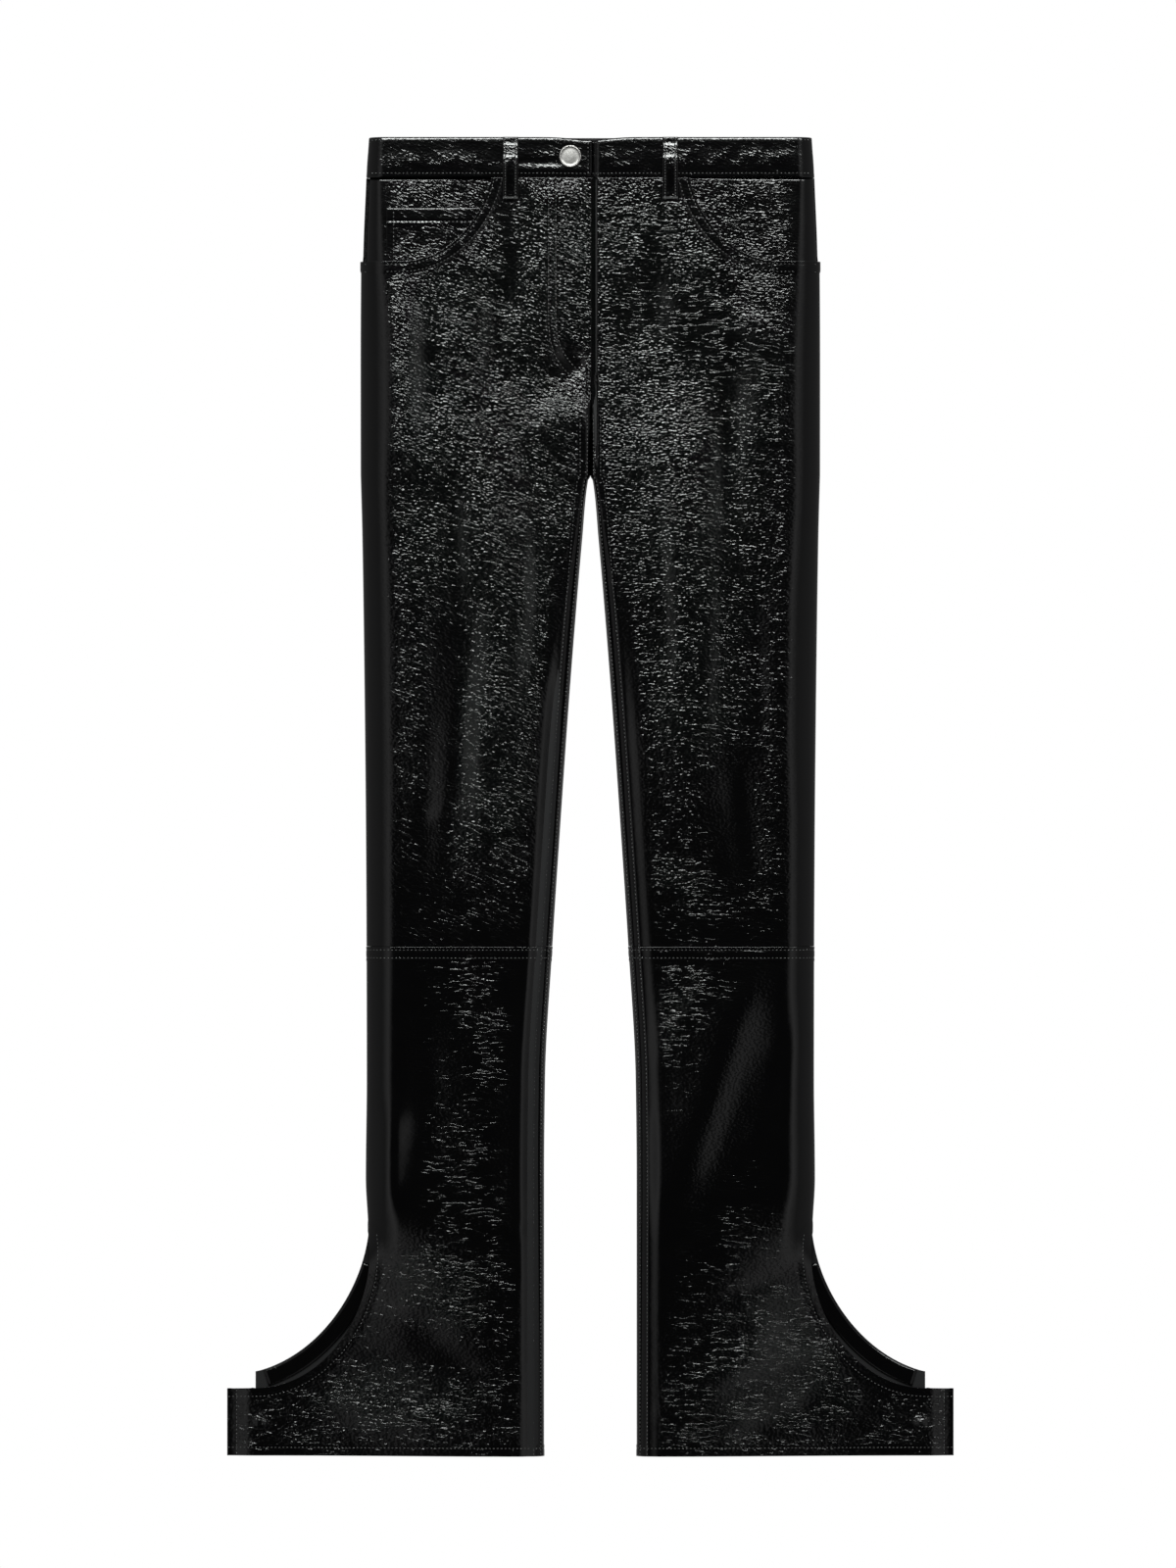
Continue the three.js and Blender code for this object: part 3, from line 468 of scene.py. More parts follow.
class Path:
    """A line on the trousers in (reach, drop), read by its length."""

    def __init__(self, points: Any) -> None:
        """Keeps the points and the length up to each.

        Args:
            points: rows of (reach, drop).
        """
        self.points = np.asarray(points, float)
        steps = np.hypot(*np.diff(self.points, axis=0).T)
        self.run = np.concatenate([[0.0], np.cumsum(steps)])

    @classmethod
    def curve(cls, corners: Any, count: int = 64) -> Path:
        """A cubic curve through four control points.

        Args:
            corners: the control points.
            count: how many points the path gets.

        Returns:
            The path.
        """
        p0, p1, p2, p3 = (np.asarray(corner, float) for corner in corners)
        t = np.linspace(0, 1, count)[:, None]
        return cls((1 - t) ** 3 * p0 + 3 * (1 - t) ** 2 * t * p1 + 3 * (1 - t) * t**2 * p2 + t**3 * p3)

    @classmethod
    def straight(cls, start: tuple[float, float], end: tuple[float, float], count: int) -> Path:
        """A straight line of evenly spaced points."""
        return cls(np.linspace(start, end, count))

    def then(self, *points: tuple[float, float]) -> Path:
        """The path with more points after its end."""
        return Path(np.vstack([self.points, points]))

    def at(self, share: Array) -> tuple[Array, Array]:
        """Reach and drop a share of the way along."""
        place = np.asarray(share) * self.run[-1]
        return np.interp(place, self.run, self.points[:, 0]), np.interp(place, self.run, self.points[:, 1])

    def cut(self, start: float, end: float) -> Path:
        """The stretch between two shares of the length."""
        return Path(np.stack(self.at(np.linspace(start, end, 60)), axis=1))

    def beside(self, distance: float) -> Path:
        """The path moved sideways, towards its right hand.

        Args:
            distance: how far it is moved.

        Returns:
            The moved path.
        """
        along = np.gradient(self.points, axis=0)
        along /= np.linalg.norm(along, axis=1)[:, None]
        return Path(self.points + distance * np.stack([-along[:, 1], along[:, 0]], axis=1))

    def distance(self, reach: Array, drop: Array) -> Array:
        """Distance from each place to the nearest point of the path.

        Args:
            reach: distances from the centre line.
            drop: distances below the waist.

        Returns:
            The distance for each place.
        """
        best = np.full(np.shape(reach), 1e9)
        for a, b in zip(self.points[:-1], self.points[1:]):
            run = b - a
            share = ((reach - a[0]) * run[0] + (drop - a[1]) * run[1]) / max(float(run @ run), 1e-9)
            share = np.clip(share, 0, 1)
            best = np.minimum(best, np.hypot(reach - a[0] - share * run[0], drop - a[1] - share * run[1]))
        return best


POCKET_EDGE = Path.curve(POCKET_CURVE).then(POCKET_LEVEL)


def leg_edge(name: str, start: float, end: float, offset: float) -> Path:
    """A path beside a leg's inner or outer fold, between two drops."""
    drops = np.linspace(start, end, 90)
    return Path(np.stack([SECTIONS.at(name, drops) + offset, drops], axis=1))


@dataclass
class Seam:
    """A sewn edge: a raised band beside a line, with rows of stitches sunk into it."""

    line: Path
    rows: tuple[float, ...]
    band: float = 11.0
    lift: float = 0.45
    sink: float = 0.1

    def relief(self, reach: Array, drop: Array) -> Array:
        """How far the seam raises the leather at each place.

        Args:
            reach: distances from the centre line.
            drop: distances below the waist.

        Returns:
            The raise at each place.
        """
        away = self.line.distance(reach, drop)
        raised = self.lift * (1 - smooth(away, self.band - 1.5, self.band))
        for row in self.rows:
            raised = raised - self.sink * np.exp(-(((away - row) / 0.7) ** 2))
        return raised

    def stitch_rows(self) -> list[Path]:
        """The lines that the stitches follow."""
        return [self.line.beside(row) for row in self.rows]


def inseam(start: float, end: float) -> Seam:
    """Twin rows beside the inner fold, which draw together towards the crotch."""
    return Seam(leg_edge("inner", start, end, 0.0), INSEAM_ROWS, band=10.5, lift=0.25)


SCOOP_SEAM = Seam(POCKET_EDGE.then((190.0, 105.2)), (2.5, 9.0), band=10.5, lift=0.7)
KNEE_SEAM = Seam(Path([(30.0, KNEE_DROP), (192.0, KNEE_DROP)]), (2.8, 9.5), band=13.0, lift=0.3, sink=0.28)
HEM_SEAM = Seam(Path([(39.0, LENGTH), (310.0, LENGTH)]), (6.8,), band=10.0, lift=0.35, sink=0.3)
CUT_SEAM = Seam(Path.curve(FRONT_CUT).then((307.0, 1058.2)), (7.0,), band=9.0, lift=0.4)
TAB_END_SEAM = Seam(Path([(FRONT_TAB[0], 1058.3), (FRONT_TAB[0], LENGTH)]), (8.0,), band=9.5, lift=0.3)
FLY_OUTER = Path([(35.3, TOP), (35.3, 158)]).then((34.0, 172), (29.5, 186), (22, 197), (14, 204), (7.9, 208))
FLY_INNER = Path([(29.2, TOP), (29.2, 156)]).then((28.2, 168), (24.2, 180), (17.5, 190), (10, 198), (2.1, 202))
COIN_SEAM = Seam(Path([(88.0, COIN_TOP), (COIN_OUTER, COIN_TOP)]), (11.1,), band=14.6, lift=0.4, sink=0.42)
COIN_SIDE = Seam(Path([(COIN_OUTER, COIN_TOP), (COIN_OUTER, 112)]), (6.0,), band=7.5, lift=0.2)


class Socket:
    """A shader socket that arithmetic can be written with."""

    def __init__(self, graph: Graph, link: Any) -> None:
        """Wraps an output socket of a graph."""
        self.graph = graph
        self.link = link

    def _math(self, operation: str, *values: Any) -> Socket:
        """Adds one Math node."""
        return self.graph.node("ShaderNodeMath", {"operation": operation}, dict(enumerate(values)))

    def __add__(self, other: Any) -> Socket:
        """Sum."""
        return self._math("ADD", self, other)

    __radd__ = __add__

    def __mul__(self, other: Any) -> Socket:
        """Product."""
        return self._math("MULTIPLY", self, other)

    __rmul__ = __mul__

    def __sub__(self, other: Any) -> Socket:
        """Difference."""
        return self._math("SUBTRACT", self, other)

    def __rsub__(self, other: Any) -> Socket:
        """Difference from a number."""
        return self._math("SUBTRACT", other, self)

    def __pow__(self, other: float) -> Socket:
        """Power."""
        return self._math("POWER", self, other)

    def __abs__(self) -> Socket:
        """Absolute value."""
        return self._math("ABSOLUTE", self)

    def step(self, low: float, high: float) -> Socket:
        """0 below low, 1 above high, and an S-curve between."""
        settings = {"interpolation_type": "SMOOTHSTEP"}
        return self.graph.node("ShaderNodeMapRange", settings, {0: self, 1: low, 2: high})


class Graph:
    """The nodes of one material or of the world."""

    def __init__(self, owner: Any) -> None:
        """Empties the owner's nodes.

        Args:
            owner: the material or the world.
        """
        self.owner = owner
        owner.use_nodes = True
        self.tree = owner.node_tree
        self.tree.nodes.clear()

    def node(self, kind: str, settings: dict[str, Any], inputs: dict[Any, Any], output: Any = 0) -> Socket:
        """Adds a node.

        Args:
            kind: the node's type.
            settings: properties set before its sockets; stops are a ramp's places and greys.
            inputs: value or Socket for each input, by name or number.
            output: the output socket to return.

        Returns:
            The chosen output.
        """
        made = self.tree.nodes.new(kind)
        for key, value in settings.items():
            if key == "stops":
                self.set_stops(made.color_ramp.elements, value)
            else:
                setattr(made, key, value)
        for key, value in inputs.items():
            if isinstance(value, Socket):
                self.tree.links.new(value.link, made.inputs[key])
            else:
                made.inputs[key].default_value = value
        return Socket(self, made.outputs[output] if made.outputs else None)

    @staticmethod
    def set_stops(elements: Any, stops: Sequence[tuple[float, float]]) -> None:
        """Gives a new ramp its stops.

        Args:
            elements: the ramp's first and last stop.
            stops: place and grey of each stop, in order.
        """
        for element, (place, grey) in zip(elements, (stops[0], stops[-1])):
            element.position, element.color = place, (grey, grey, grey, 1)
        for place, grey in stops[1:-1]:
            elements.new(place).color = (grey, grey, grey, 1)

    def millimetres(self, turn: float = 0.0) -> Socket:
        """The object's own coordinates in millimetres, turned about the upright axis."""
        place = self.node("ShaderNodeTexCoord", {}, {}, "Object")
        return self.node("ShaderNodeMapping", {}, {0: place, 2: (0, 0, turn), 3: (1000, 1000, 1000)})

    def noise(self, place: Socket, stretch: tuple[float, float, float], detail: float = 1.0) -> Socket:
        """Noise with one cycle each stretch millimetres along X, Y and Z."""
        scaled = self.node("ShaderNodeMapping", {}, {0: place, 3: tuple(1 / s for s in stretch)})
        return self.node("ShaderNodeTexNoise", {}, {"Vector": scaled, "Scale": 1.0, "Detail": detail}, "Fac")

    def warped(self, place: Socket, size: float, strength: float) -> Socket:
        """Coordinates pushed about by a slow noise.

        Args:
            place: the coordinates.
            size: the noise's size.
            strength: how far it pushes.

        Returns:
            The new coordinates.
        """
        inputs = {"Vector": place, "Scale": 1 / size, "Detail": 2.0}
        push = self.node("ShaderNodeTexNoise", {}, inputs, "Color")
        centred = self.node("ShaderNodeVectorMath", {"operation": "SUBTRACT"}, {0: push, 1: (0.5, 0.5, 0.5)})
        amount = self.node("ShaderNodeVectorMath", {"operation": "SCALE"}, {0: centred, "Scale": strength})
        return self.node("ShaderNodeVectorMath", {"operation": "ADD"}, {0: place, 1: amount})

    def attribute(self, name: str) -> Socket:
        """A number kept on the mesh's points."""
        return self.node("ShaderNodeAttribute", {"attribute_name": name}, {}, "Fac")

    def bump(self, height: Socket, distance: float = MM) -> Socket:
        """Normal from a height in millimetres."""
        return self.node("ShaderNodeBump", {}, {"Strength": 1.0, "Distance": distance, "Height": height}, 0)

    def finish(self, inputs: dict[Any, Any]) -> bpy.types.Material:
        """Ends the graph in a Principled surface.

        Args:
            inputs: value or Socket for each of its inputs.

        Returns:
            The material.
        """
        surface = self.node("ShaderNodeBsdfPrincipled", {}, inputs)
        self.node("ShaderNodeOutputMaterial", {}, {0: surface})
        return self.owner


@dataclass(frozen=True)
class PatentLeather:
    """Black patent leather with fine crinkles and longer creases."""

    name: str
    turn: float = 0.35
    fine: float = 0.68
    long: float = 0.5
    slow: float = 0.35
    roughness: float = 0.14
    colour: tuple[float, float, float, float] = (0.0015, 0.0015, 0.0017, 1.0)
    crinkle_size: tuple[float, float, float] = (2.8, 1.5, 2.0)
    cross_size: tuple[float, float, float] = (1.9, 1.7, 2.0)
    crease_size: tuple[float, float, float] = (26.0, 4.2, 9.0)
    dash_size: tuple[float, float, float] = (9.0, 3.0, 4.0)
    patch_size: tuple[float, float, float] = (22.0, 14.0, 20.0)
    swell_size: tuple[float, float, float] = (26.0, 17.0, 20.0)

    def material(self) -> bpy.types.Material:
        """Builds the leather.

        Returns:
            The material.
        """
        graph = Graph(bpy.data.materials.new(self.name))
        place = graph.millimetres(self.turn)
        grain, crease = graph.attribute("grain"), graph.attribute("crease")
        near = graph.warped(place, 9.0, 3.0)
        wide = graph.warped(place, 26.0, 9.0)
        crinkle = graph.noise(near, self.crinkle_size, 0.0)
        cross = graph.noise(near, self.cross_size, 0.0)
        patches = graph.noise(place, self.patch_size, 2.0)
        line = 1 - abs(graph.noise(wide, self.crease_size, 1.5) * 2 - 1)
        dashes = graph.noise(near, self.dash_size, 1.0).step(0.41, 0.53)
        thin = line**9 * dashes * patches.step(0.34, 0.52)
        swell = graph.noise(place, self.swell_size, 2.0)
        height = (crinkle + cross * 0.4) * (patches * 0.3 + 0.85) * self.fine * grain
        height = height + thin * self.long * crease + swell * self.slow
        rough = patches * 0.08 + (self.roughness - 0.04)
        return graph.finish({
            "Base Color": self.colour,
            "Roughness": rough,
            "Coat Weight": 0.7,
            "Coat Roughness": 0.07,
            "Normal": graph.bump(height),
        })


@dataclass(frozen=True)
class WrongSide:
    """The leather's plain inside: black backing cloth with a fine weave."""

    name: str = "leather_inside"

    def material(self) -> bpy.types.Material:
        """Builds the backing.

        Returns:
            The material.
        """
        graph = Graph(bpy.data.materials.new(self.name))
        place = graph.millimetres()
        warp = graph.noise(place, (0.5, 4.0, 4.0))
        weft = graph.noise(place, (4.0, 0.5, 4.0))
        return graph.finish({
            "Base Color": (0.007, 0.007, 0.008, 1.0),
            "Roughness": 0.6,
            "Sheen Weight": 0.15,
            "Normal": graph.bump((warp + weft) * 0.06),
        })


@dataclass(frozen=True)
class Thread:
    """Black sewing thread, its base colour lifted to grey as a painted highlight so the stitches show as bright
    dots.
    """

    name: str = "black_thread_painted_highlight"

    def material(self) -> bpy.types.Material:
        """Builds the thread, with its twist as a fine bump.

        Returns:
            The material.
        """
        graph = Graph(bpy.data.materials.new(self.name))
        twist = graph.noise(graph.millimetres(0.6), (0.9, 0.22, 0.5))
        return graph.finish({
            # Grey base colour: painted highlight on black thread, so the stitch rows read as bright dots.
            "Base Color": (0.1, 0.1, 0.1, 1.0),
            "Roughness": 0.3,
            "Coat Weight": 1.0,
            "Coat Roughness": 0.12,
            "Normal": graph.bump(twist * 0.04),
        })


@dataclass(frozen=True)
class PaleMetal:
    """The button's pale metal, brushed in rings round its centre."""

    centre: tuple[float, float]
    name: str = "pale_metal"

    def material(self) -> bpy.types.Material:
        """Builds the metal.

        Returns:
            The material.
        """
        graph = Graph(bpy.data.materials.new(self.name))
        place = graph.millimetres()
        moved = graph.node("ShaderNodeMapping", {}, {0: place, 1: (-self.centre[0], -self.centre[1], 0)})
        flat = graph.node("ShaderNodeVectorMath", {"operation": "MULTIPLY"}, {0: moved, 1: (1, 1, 0)})
        radius = graph.node("ShaderNodeVectorMath", {"operation": "LENGTH"}, {0: flat}, 1)
        rings = graph.node("ShaderNodeCombineXYZ", {}, {0: radius})
        brushed = graph.noise(rings, (0.16, 1.0, 1.0), 2.0)
        cloud = graph.noise(place, (3.0, 3.0, 3.0), 3.0)
        tone = graph.node("ShaderNodeMix", {"data_type": "RGBA"}, {
            0: cloud,
            6: (0.56, 0.54, 0.52, 1.0),
            7: (0.78, 0.77, 0.75, 1.0),
        }, 2)
        return graph.finish({
            "Base Color": tone,
            "Metallic": 1.0,
            "Roughness": cloud * 0.12 + 0.3,
            "Normal": graph.bump(brushed * 0.02 + cloud * 0.05),
        })


@dataclass(frozen=True)
class ZipTape:
    """Black woven tape with the closed teeth as ribs down its middle."""

    name: str = "zip_tape"

    def material(self) -> bpy.types.Material:
        """Builds the tape.

        Returns:
            The material.
        """
        graph = Graph(bpy.data.materials.new(self.name))
        place = graph.millimetres()
        teeth = graph.noise(place, (30.0, 1.4, 30.0))
        weave = graph.noise(place, (0.7, 0.7, 0.7))
        return graph.finish({
            "Base Color": (0.008, 0.008, 0.009, 1.0),
            "Roughness": 0.6,
            "Normal": graph.bump(teeth * 0.3 + weave * 0.1),
        })


@dataclass
class Materials:
    """One material for each finish."""

    right: bpy.types.Material
    left: bpy.types.Material
    shin: bpy.types.Material
    band: bpy.types.Material
    inside: bpy.types.Material
    thread: bpy.types.Material

    def leather(self, side: int) -> bpy.types.Material:
        """The leather for one leg."""
        return self.right if side == RIGHT else self.left


@dataclass(frozen=True)
class Patch:
    """A place where the crinkles are weaker or stronger: a soft oval round a line."""

    side: int
    head: tuple[float, float]
    tail: tuple[float, float]
    spread: float
    grain: float
    crease: float


PATCHES = by_side(Patch, {
    RIGHT: [
        (160, 107, 160, 281, 9, 0.2, 0.3), (175, 112, 175, 300, 8, -0.3, -0.3),
        (137, 156, 138, 231, 13, -0.25, 0.0), (77, 131, 78, 198, 9, -0.25, 0.0),
        (72, 44, 64, 140, 8, -0.45, -0.2), (53, 34, 47, 106, 7, -0.3, 0.0),
        (110, 270, 112, 400, 10, -0.25, 0.0), (118, 390, 126, 640, 17, -0.3, -0.2),
        (76, 231, 74, 430, 24, 0.1, 0.2), (70, 430, 84, 640, 26, 0.05, 0.4),
        (150, 560, 152, 660, 20, -0.25, 0.0), (26, 182, 12, 202, 8, -0.7, -0.4),
        (22, 214, 14, 236, 10, 0.3, 0.4), (16, 45, 16, 150, 14, 0.05, 0.3),
        (70, 470, 80, 600, 26, 0.1, 0.2), (70, 66, 200, 80, 32, -0.38, 0.1),
        (67, 40, 67, 56, 9, -0.9, -0.5), (112, 690, 88, 725, 14, 0.3, 0.9),
        (112, 742, 66, 752, 8, 0.4, 1.3), (104, 768, 72, 800, 13, 0.15, 0.7),
        (168, 690, 166, 790, 15, -0.2, -0.8), (164, 786, 162, 925, 17, -0.3, -1.0),
        (57, 700, 57, 1030, 11, -0.15, -0.7), (144, 838, 80, 850, 22, 0.12, 0.5),
        (150, 885, 70, 900, 24, 0.12, 0.6), (170, 955, 60, 965, 26, 0.2, 0.5),
        (150, 925, 96, 1000, 26, 0.3, 0.8), (190, 1015, 80, 1035, 16, -0.35, -0.5),
        (240, 1070, 60, 1098, 22, 0.32, 0.7), (290, 1085, 240, 1088, 24, 0.3, -0.2),
    ],
    LEFT: [
        (40, 145, 185, 195, 34, -0.46, 0.3), (67, 40, 67, 56, 9, -0.9, -0.5),
        (63, 50, 46, 180, 9, -0.14, 0.0), (75, 60, 200, 66, 34, -0.28, 0.0),
        (32, 115, 24, 180, 14, -0.25, 0.0), (88, 110, 88, 195, 9, -0.15, 0.0),
        (114, 156, 114, 390, 9, -0.25, 0.0), (150, 240, 151, 546, 15, -0.1, 0.0),
        (20, 60, 70, 90, 24, -0.2, 0.2), (80, 230, 84, 560, 24, 0.03, 0.0),
        (116, 530, 124, 640, 20, -0.5, -0.3), (60, 600, 96, 660, 22, 0.1, 0.4),
        (75, 694, 75, 781, 26, 0.3, 0.7), (146, 712, 89, 883, 14, 0.25, -0.9),
        (176, 700, 172, 900, 20, -0.3, -1.0), (56, 820, 60, 1050, 15, -0.1, -0.5),
        (170, 925, 110, 940, 18, 0.1, 0.6), (225, 990, 70, 1112, 34, 0.3, 1.5),
        (290, 1085, 245, 1085, 24, 0.3, -0.2),
    ],
})


GRAIN_BASE = {RIGHT: 0.75, LEFT: 0.71}


def grain_at(side: int, reach: Array, drop: Array) -> tuple[Array, Array]:
    """How strong the fine crinkles and the long creases are.

    Args:
        side: RIGHT or LEFT.
        reach: distances from the centre line.
        drop: distances below the waist.

    Returns:
        The two strengths at each place.
    """
    outer, inner = SECTIONS.at("outer", drop), SECTIONS.at("inner", drop)
    shin = smooth(drop, SHIN_CALM_START, SHIN_CALM_END)
    hem = smooth(drop, HEM_CREASED_START, HEM_CREASED_END)
    grain = mix(GRAIN_BASE[side], 0.22, shin) + 0.38 * hem
    crease = mix(0.3, 0.24, shin) + 0.35 * hem
    for patch in PATCHES:
        if patch.side != side:
            continue
        near = folds_at([Fold(side, patch.head, patch.tail, patch.spread, 1.0)], side, reach, drop)
        grain, crease = grain + patch.grain * near, crease + patch.crease * near
    calm = (1 - smooth(outer - reach, 14, 34)) * (1 - smooth(drop, CUT_START, CUT_CLEAR))
    calm = np.maximum(calm, (1 - smooth(reach - inner, 18, 26)) * smooth(drop, 330, 480))
    if side == LEFT:
        calm = np.maximum(calm, (1 - smooth(reach, 5.0, 7.5)) * (1 - smooth(drop, 250, 285)))
    grain, crease = grain * (1 - 0.85 * calm), crease * (1 - 0.95 * calm)
    return np.clip(grain, 0.05, 2.2), np.clip(crease, 0.0, 2.6)


def to_points(side: int, reach: Array, drop: Array, height: Array) -> Array:
    """Places as points in metres, one row each.

    Args:
        side: RIGHT or LEFT.
        reach: distances from the centre line.
        drop: distances below the waist.
        height: heights above the floor.

    Returns:
        The points.
    """
    shape = np.broadcast_shapes(np.shape(reach), np.shape(drop), np.shape(height))
    parts = (side * np.asarray(reach), LENGTH / 2 - np.asarray(drop), np.asarray(height))
    return np.stack([np.broadcast_to(part, shape) for part in parts], axis=-1) * MM


def grid_normals(points: Array, up: int) -> Array:
    """Unit normals of a grid of points, on the side where up points.

    Args:
        points: the grid, in metres.
        up: 1 for upwards and -1 for downwards.

    Returns:
        The normals.
    """
    down, across = np.gradient(points, axis=(0, 1))
    normal = np.cross(across, down)
    normal /= np.maximum(np.linalg.norm(normal, axis=-1, keepdims=True), 1e-12)
    middle = normal[points.shape[0] // 2, points.shape[1] // 2, 2]
    return normal * (up if middle > 0 else -up)


def soft_rim(rows: Array, columns: Array, size: float, depth: float, fold_depth: float) -> Array:
    """How far the outside sinks at a grid's edges, to round them.

    Args:
        rows: distance of each row from the first, in millimetres.
        columns: the same for the columns.
        size: width of the rounded edge.
        depth: how far the first and last rows sink.
        fold_depth: how far the first and last columns sink.

    Returns:
        The sinking for each point of the grid.
    """
    along = np.minimum(rows - rows[0], rows[-1] - rows)[:, None]
    across = np.minimum(columns - columns[0], columns[-1] - columns)[None, :]
    return np.maximum(depth * (1 - rounding(along, size)), fold_depth * (1 - rounding(across, size)))


def mesh_object(name: str, vertices: Array, faces: Any, finishes: Sequence[Any]) -> bpy.types.Object:
    """A smooth-shaded mesh object at the origin.

    Args:
        name: the object's name.
        vertices: rows of x, y, z in metres.
        faces: rows of vertex numbers.
        finishes: materials for its slots.

    Returns:
        The new object.
    """
    mesh = bpy.data.meshes.new(name)
    mesh.from_pydata(np.asarray(vertices).tolist(), [], faces.tolist() if isinstance(faces, Array) else faces)
    for finish in finishes:
        mesh.materials.append(finish)
    mesh.polygons.foreach_set("use_smooth", [True] * len(mesh.polygons))
    mesh.update()
    made = bpy.data.objects.new(name, mesh)
    bpy.context.scene.collection.objects.link(made)
    return made


def wall_faces(high: int, wide: int) -> tuple[Array, int]:
    """Faces of a closed wall whose outside and inside are grids of the same size.

    Args:
        high: rows of the grid.
        wide: columns of the grid.

    Returns:
        The faces, and how many of them are on the outside and its edges.
    """
    index = np.arange(high * wide).reshape(high, wide)
    a, b, c, d = index[:-1, :-1], index[1:, :-1], index[1:, 1:], index[:-1, 1:]
    outside = np.stack([a, b, c, d], axis=-1).reshape(-1, 4)
    rim = np.concatenate([index[0, :-1], index[:-1, -1], index[-1, :0:-1], index[:0:-1, 0]])
    after = np.roll(rim, -1)
    shift = high * wide
    edges = np.stack([rim, after, after + shift, rim + shift], axis=-1)
    inside = outside[:, ::-1] + shift
    return np.concatenate([outside, edges, inside]), len(outside) + len(edges)


def wall(
    name: str,
    outside: Array,
    inside: Array,
    finishes: Sequence[Any],
    strengths: tuple[Array, Array] | None = None,
) -> bpy.types.Object:
    """A closed thin wall.

    Args:
        name: the object's name.
        outside: grid of points of its outside.
        inside: grid of points of its inside.
        finishes: materials of the outside and the inside.
        strengths: fine and long crinkle strengths for each point of the outside.

    Returns:
        The new object.
    """
    high, wide = outside.shape[:2]
    faces, outer_count = wall_faces(high, wide)
    made = mesh_object(name, np.concatenate([outside.reshape(-1, 3), inside.reshape(-1, 3)]), faces, finishes)
    slots = np.zeros(len(faces), dtype=np.int32)
    slots[outer_count:] = len(finishes) - 1
    made.data.polygons.foreach_set("material_index", slots)
    values = strengths or (np.full((high, wide), 0.6), np.full((high, wide), 0.2))
    for key, value in zip(("grain", "crease"), values):
        layer = made.data.attributes.new(key, "FLOAT", "POINT")
        spread = np.broadcast_to(value, (high, wide)).reshape(-1)
        layer.data.foreach_set("value", np.concatenate([spread, spread]).astype(np.float32))
    layer = made.data.uv_layers.new(name="UVMap")
    corners = np.zeros(len(made.data.loops), dtype=np.int32)
    made.data.loops.foreach_get("vertex_index", corners)
    flat = np.concatenate([outside.reshape(-1, 3), inside.reshape(-1, 3)])[corners][:, :2]
    layer.data.foreach_set("uv", flat.astype(np.float32).reshape(-1))
    face_outward(made)
    return made


def shell(
    name: str,
    points: Array,
    normal: Array,
    raised: Array,
    thickness: float,
    finishes: Sequence[Any],
    strengths: tuple[Array, Array] | None = None,
) -> bpy.types.Object:
    """A wall laid along a grid of points.

    Args:
        name: the object's name.
        points: the grid, in metres.
        normal: directions out of it.
        raised: how far the outside lies out from each point, in millimetres.
        thickness: how far the inside lies in from the points.
        finishes: materials of the outside and the inside.
        strengths: fine and long crinkle strengths for each point.

    Returns:
        The new object.
    """
    outside = points + normal * (raised * MM)[..., None]
    return wall(name, outside, points - normal * thickness * MM, finishes, strengths)


def face_outward(made: bpy.types.Object) -> None:
    """Turns a closed mesh's faces outwards if they point in.

    Args:
        made: the mesh's object.
    """
    shell = bmesh.new()
    shell.from_mesh(made.data)
    if shell.calc_volume(signed=True) < 0:
        bmesh.ops.reverse_faces(shell, faces=shell.faces[:])
        shell.to_mesh(made.data)
    shell.free()


def reach_across(share: Array, inner: Any, outer: Any, inner_width: float, outer_width: Any) -> Array:
    """Reach at a share of the way across: a rounded stretch at each fold and an even one between.

    Args:
        share: shares across, from the inner fold to the outer one.
        inner: reach of the inner fold.
        outer: reach of the outer fold.
        inner_width: width of the stretch at the inner fold.
        outer_width: width of the stretch at the outer fold.

    Returns:
        The reach for each share.
    """
    near = inner + inner_width * (1 - np.cos(np.pi / 2 * np.clip(share / INNER_SHARE, 0, 1)))
    turn = np.clip((share - OUTER_SHARE) / (1 - OUTER_SHARE), 0, 1)
    far = outer - outer_width * (1 - np.sin(np.pi / 2 * turn))
    even = np.clip((share - INNER_SHARE) / (OUTER_SHARE - INNER_SHARE), 0, 1)
    middle = mix(inner + inner_width, outer - outer_width, even)
    return np.where(share <= INNER_SHARE, near, np.where(share >= OUTER_SHARE, far, middle))


def even_steps(start: float, end: float, step: float) -> Array:
    """Numbers from start to end, about step apart."""
    return np.linspace(start, end, max(int(round((end - start) / step)), 1) + 1)


def edge_steps(length: float, step: float, dense: float = 12.0, fine: float = 0.75) -> Array:
    """Distances from 0 to length: fine ones within dense of each end and even ones between.

    Args:
        length: the whole distance.
        step: spacing in the middle.
        dense: how far the fine spacing goes in from each end.
        fine: the fine spacing.

    Returns:
        The distances in order.
    """
    near = np.concatenate([[0.0, 0.4, 0.8], even_steps(1.4, dense, fine)])
    middle = even_steps(dense, length - dense, step)[1:-1]
    return np.concatenate([near, middle, length - near[::-1]])


def across_shares(step: float) -> Array:
    """Shares across a leg panel, dense beside the inner fold's stitches.

    Args:
        step: spacing of the grid in the middle.

    Returns:
        The shares in order.
    """
    near = np.concatenate([[0.0, 0.5, 1.0, 1.7], even_steps(2.4, INNER_ROLL, 0.9)])
    inner = INNER_SHARE * 2 / np.pi * np.arccos(1 - near / INNER_ROLL)
    middle = np.linspace(INNER_SHARE, OUTER_SHARE, int(150 / step) + 1)[1:-1]
    outer = np.linspace(OUTER_SHARE, 1, 13)
    return np.concatenate([inner, middle, outer])


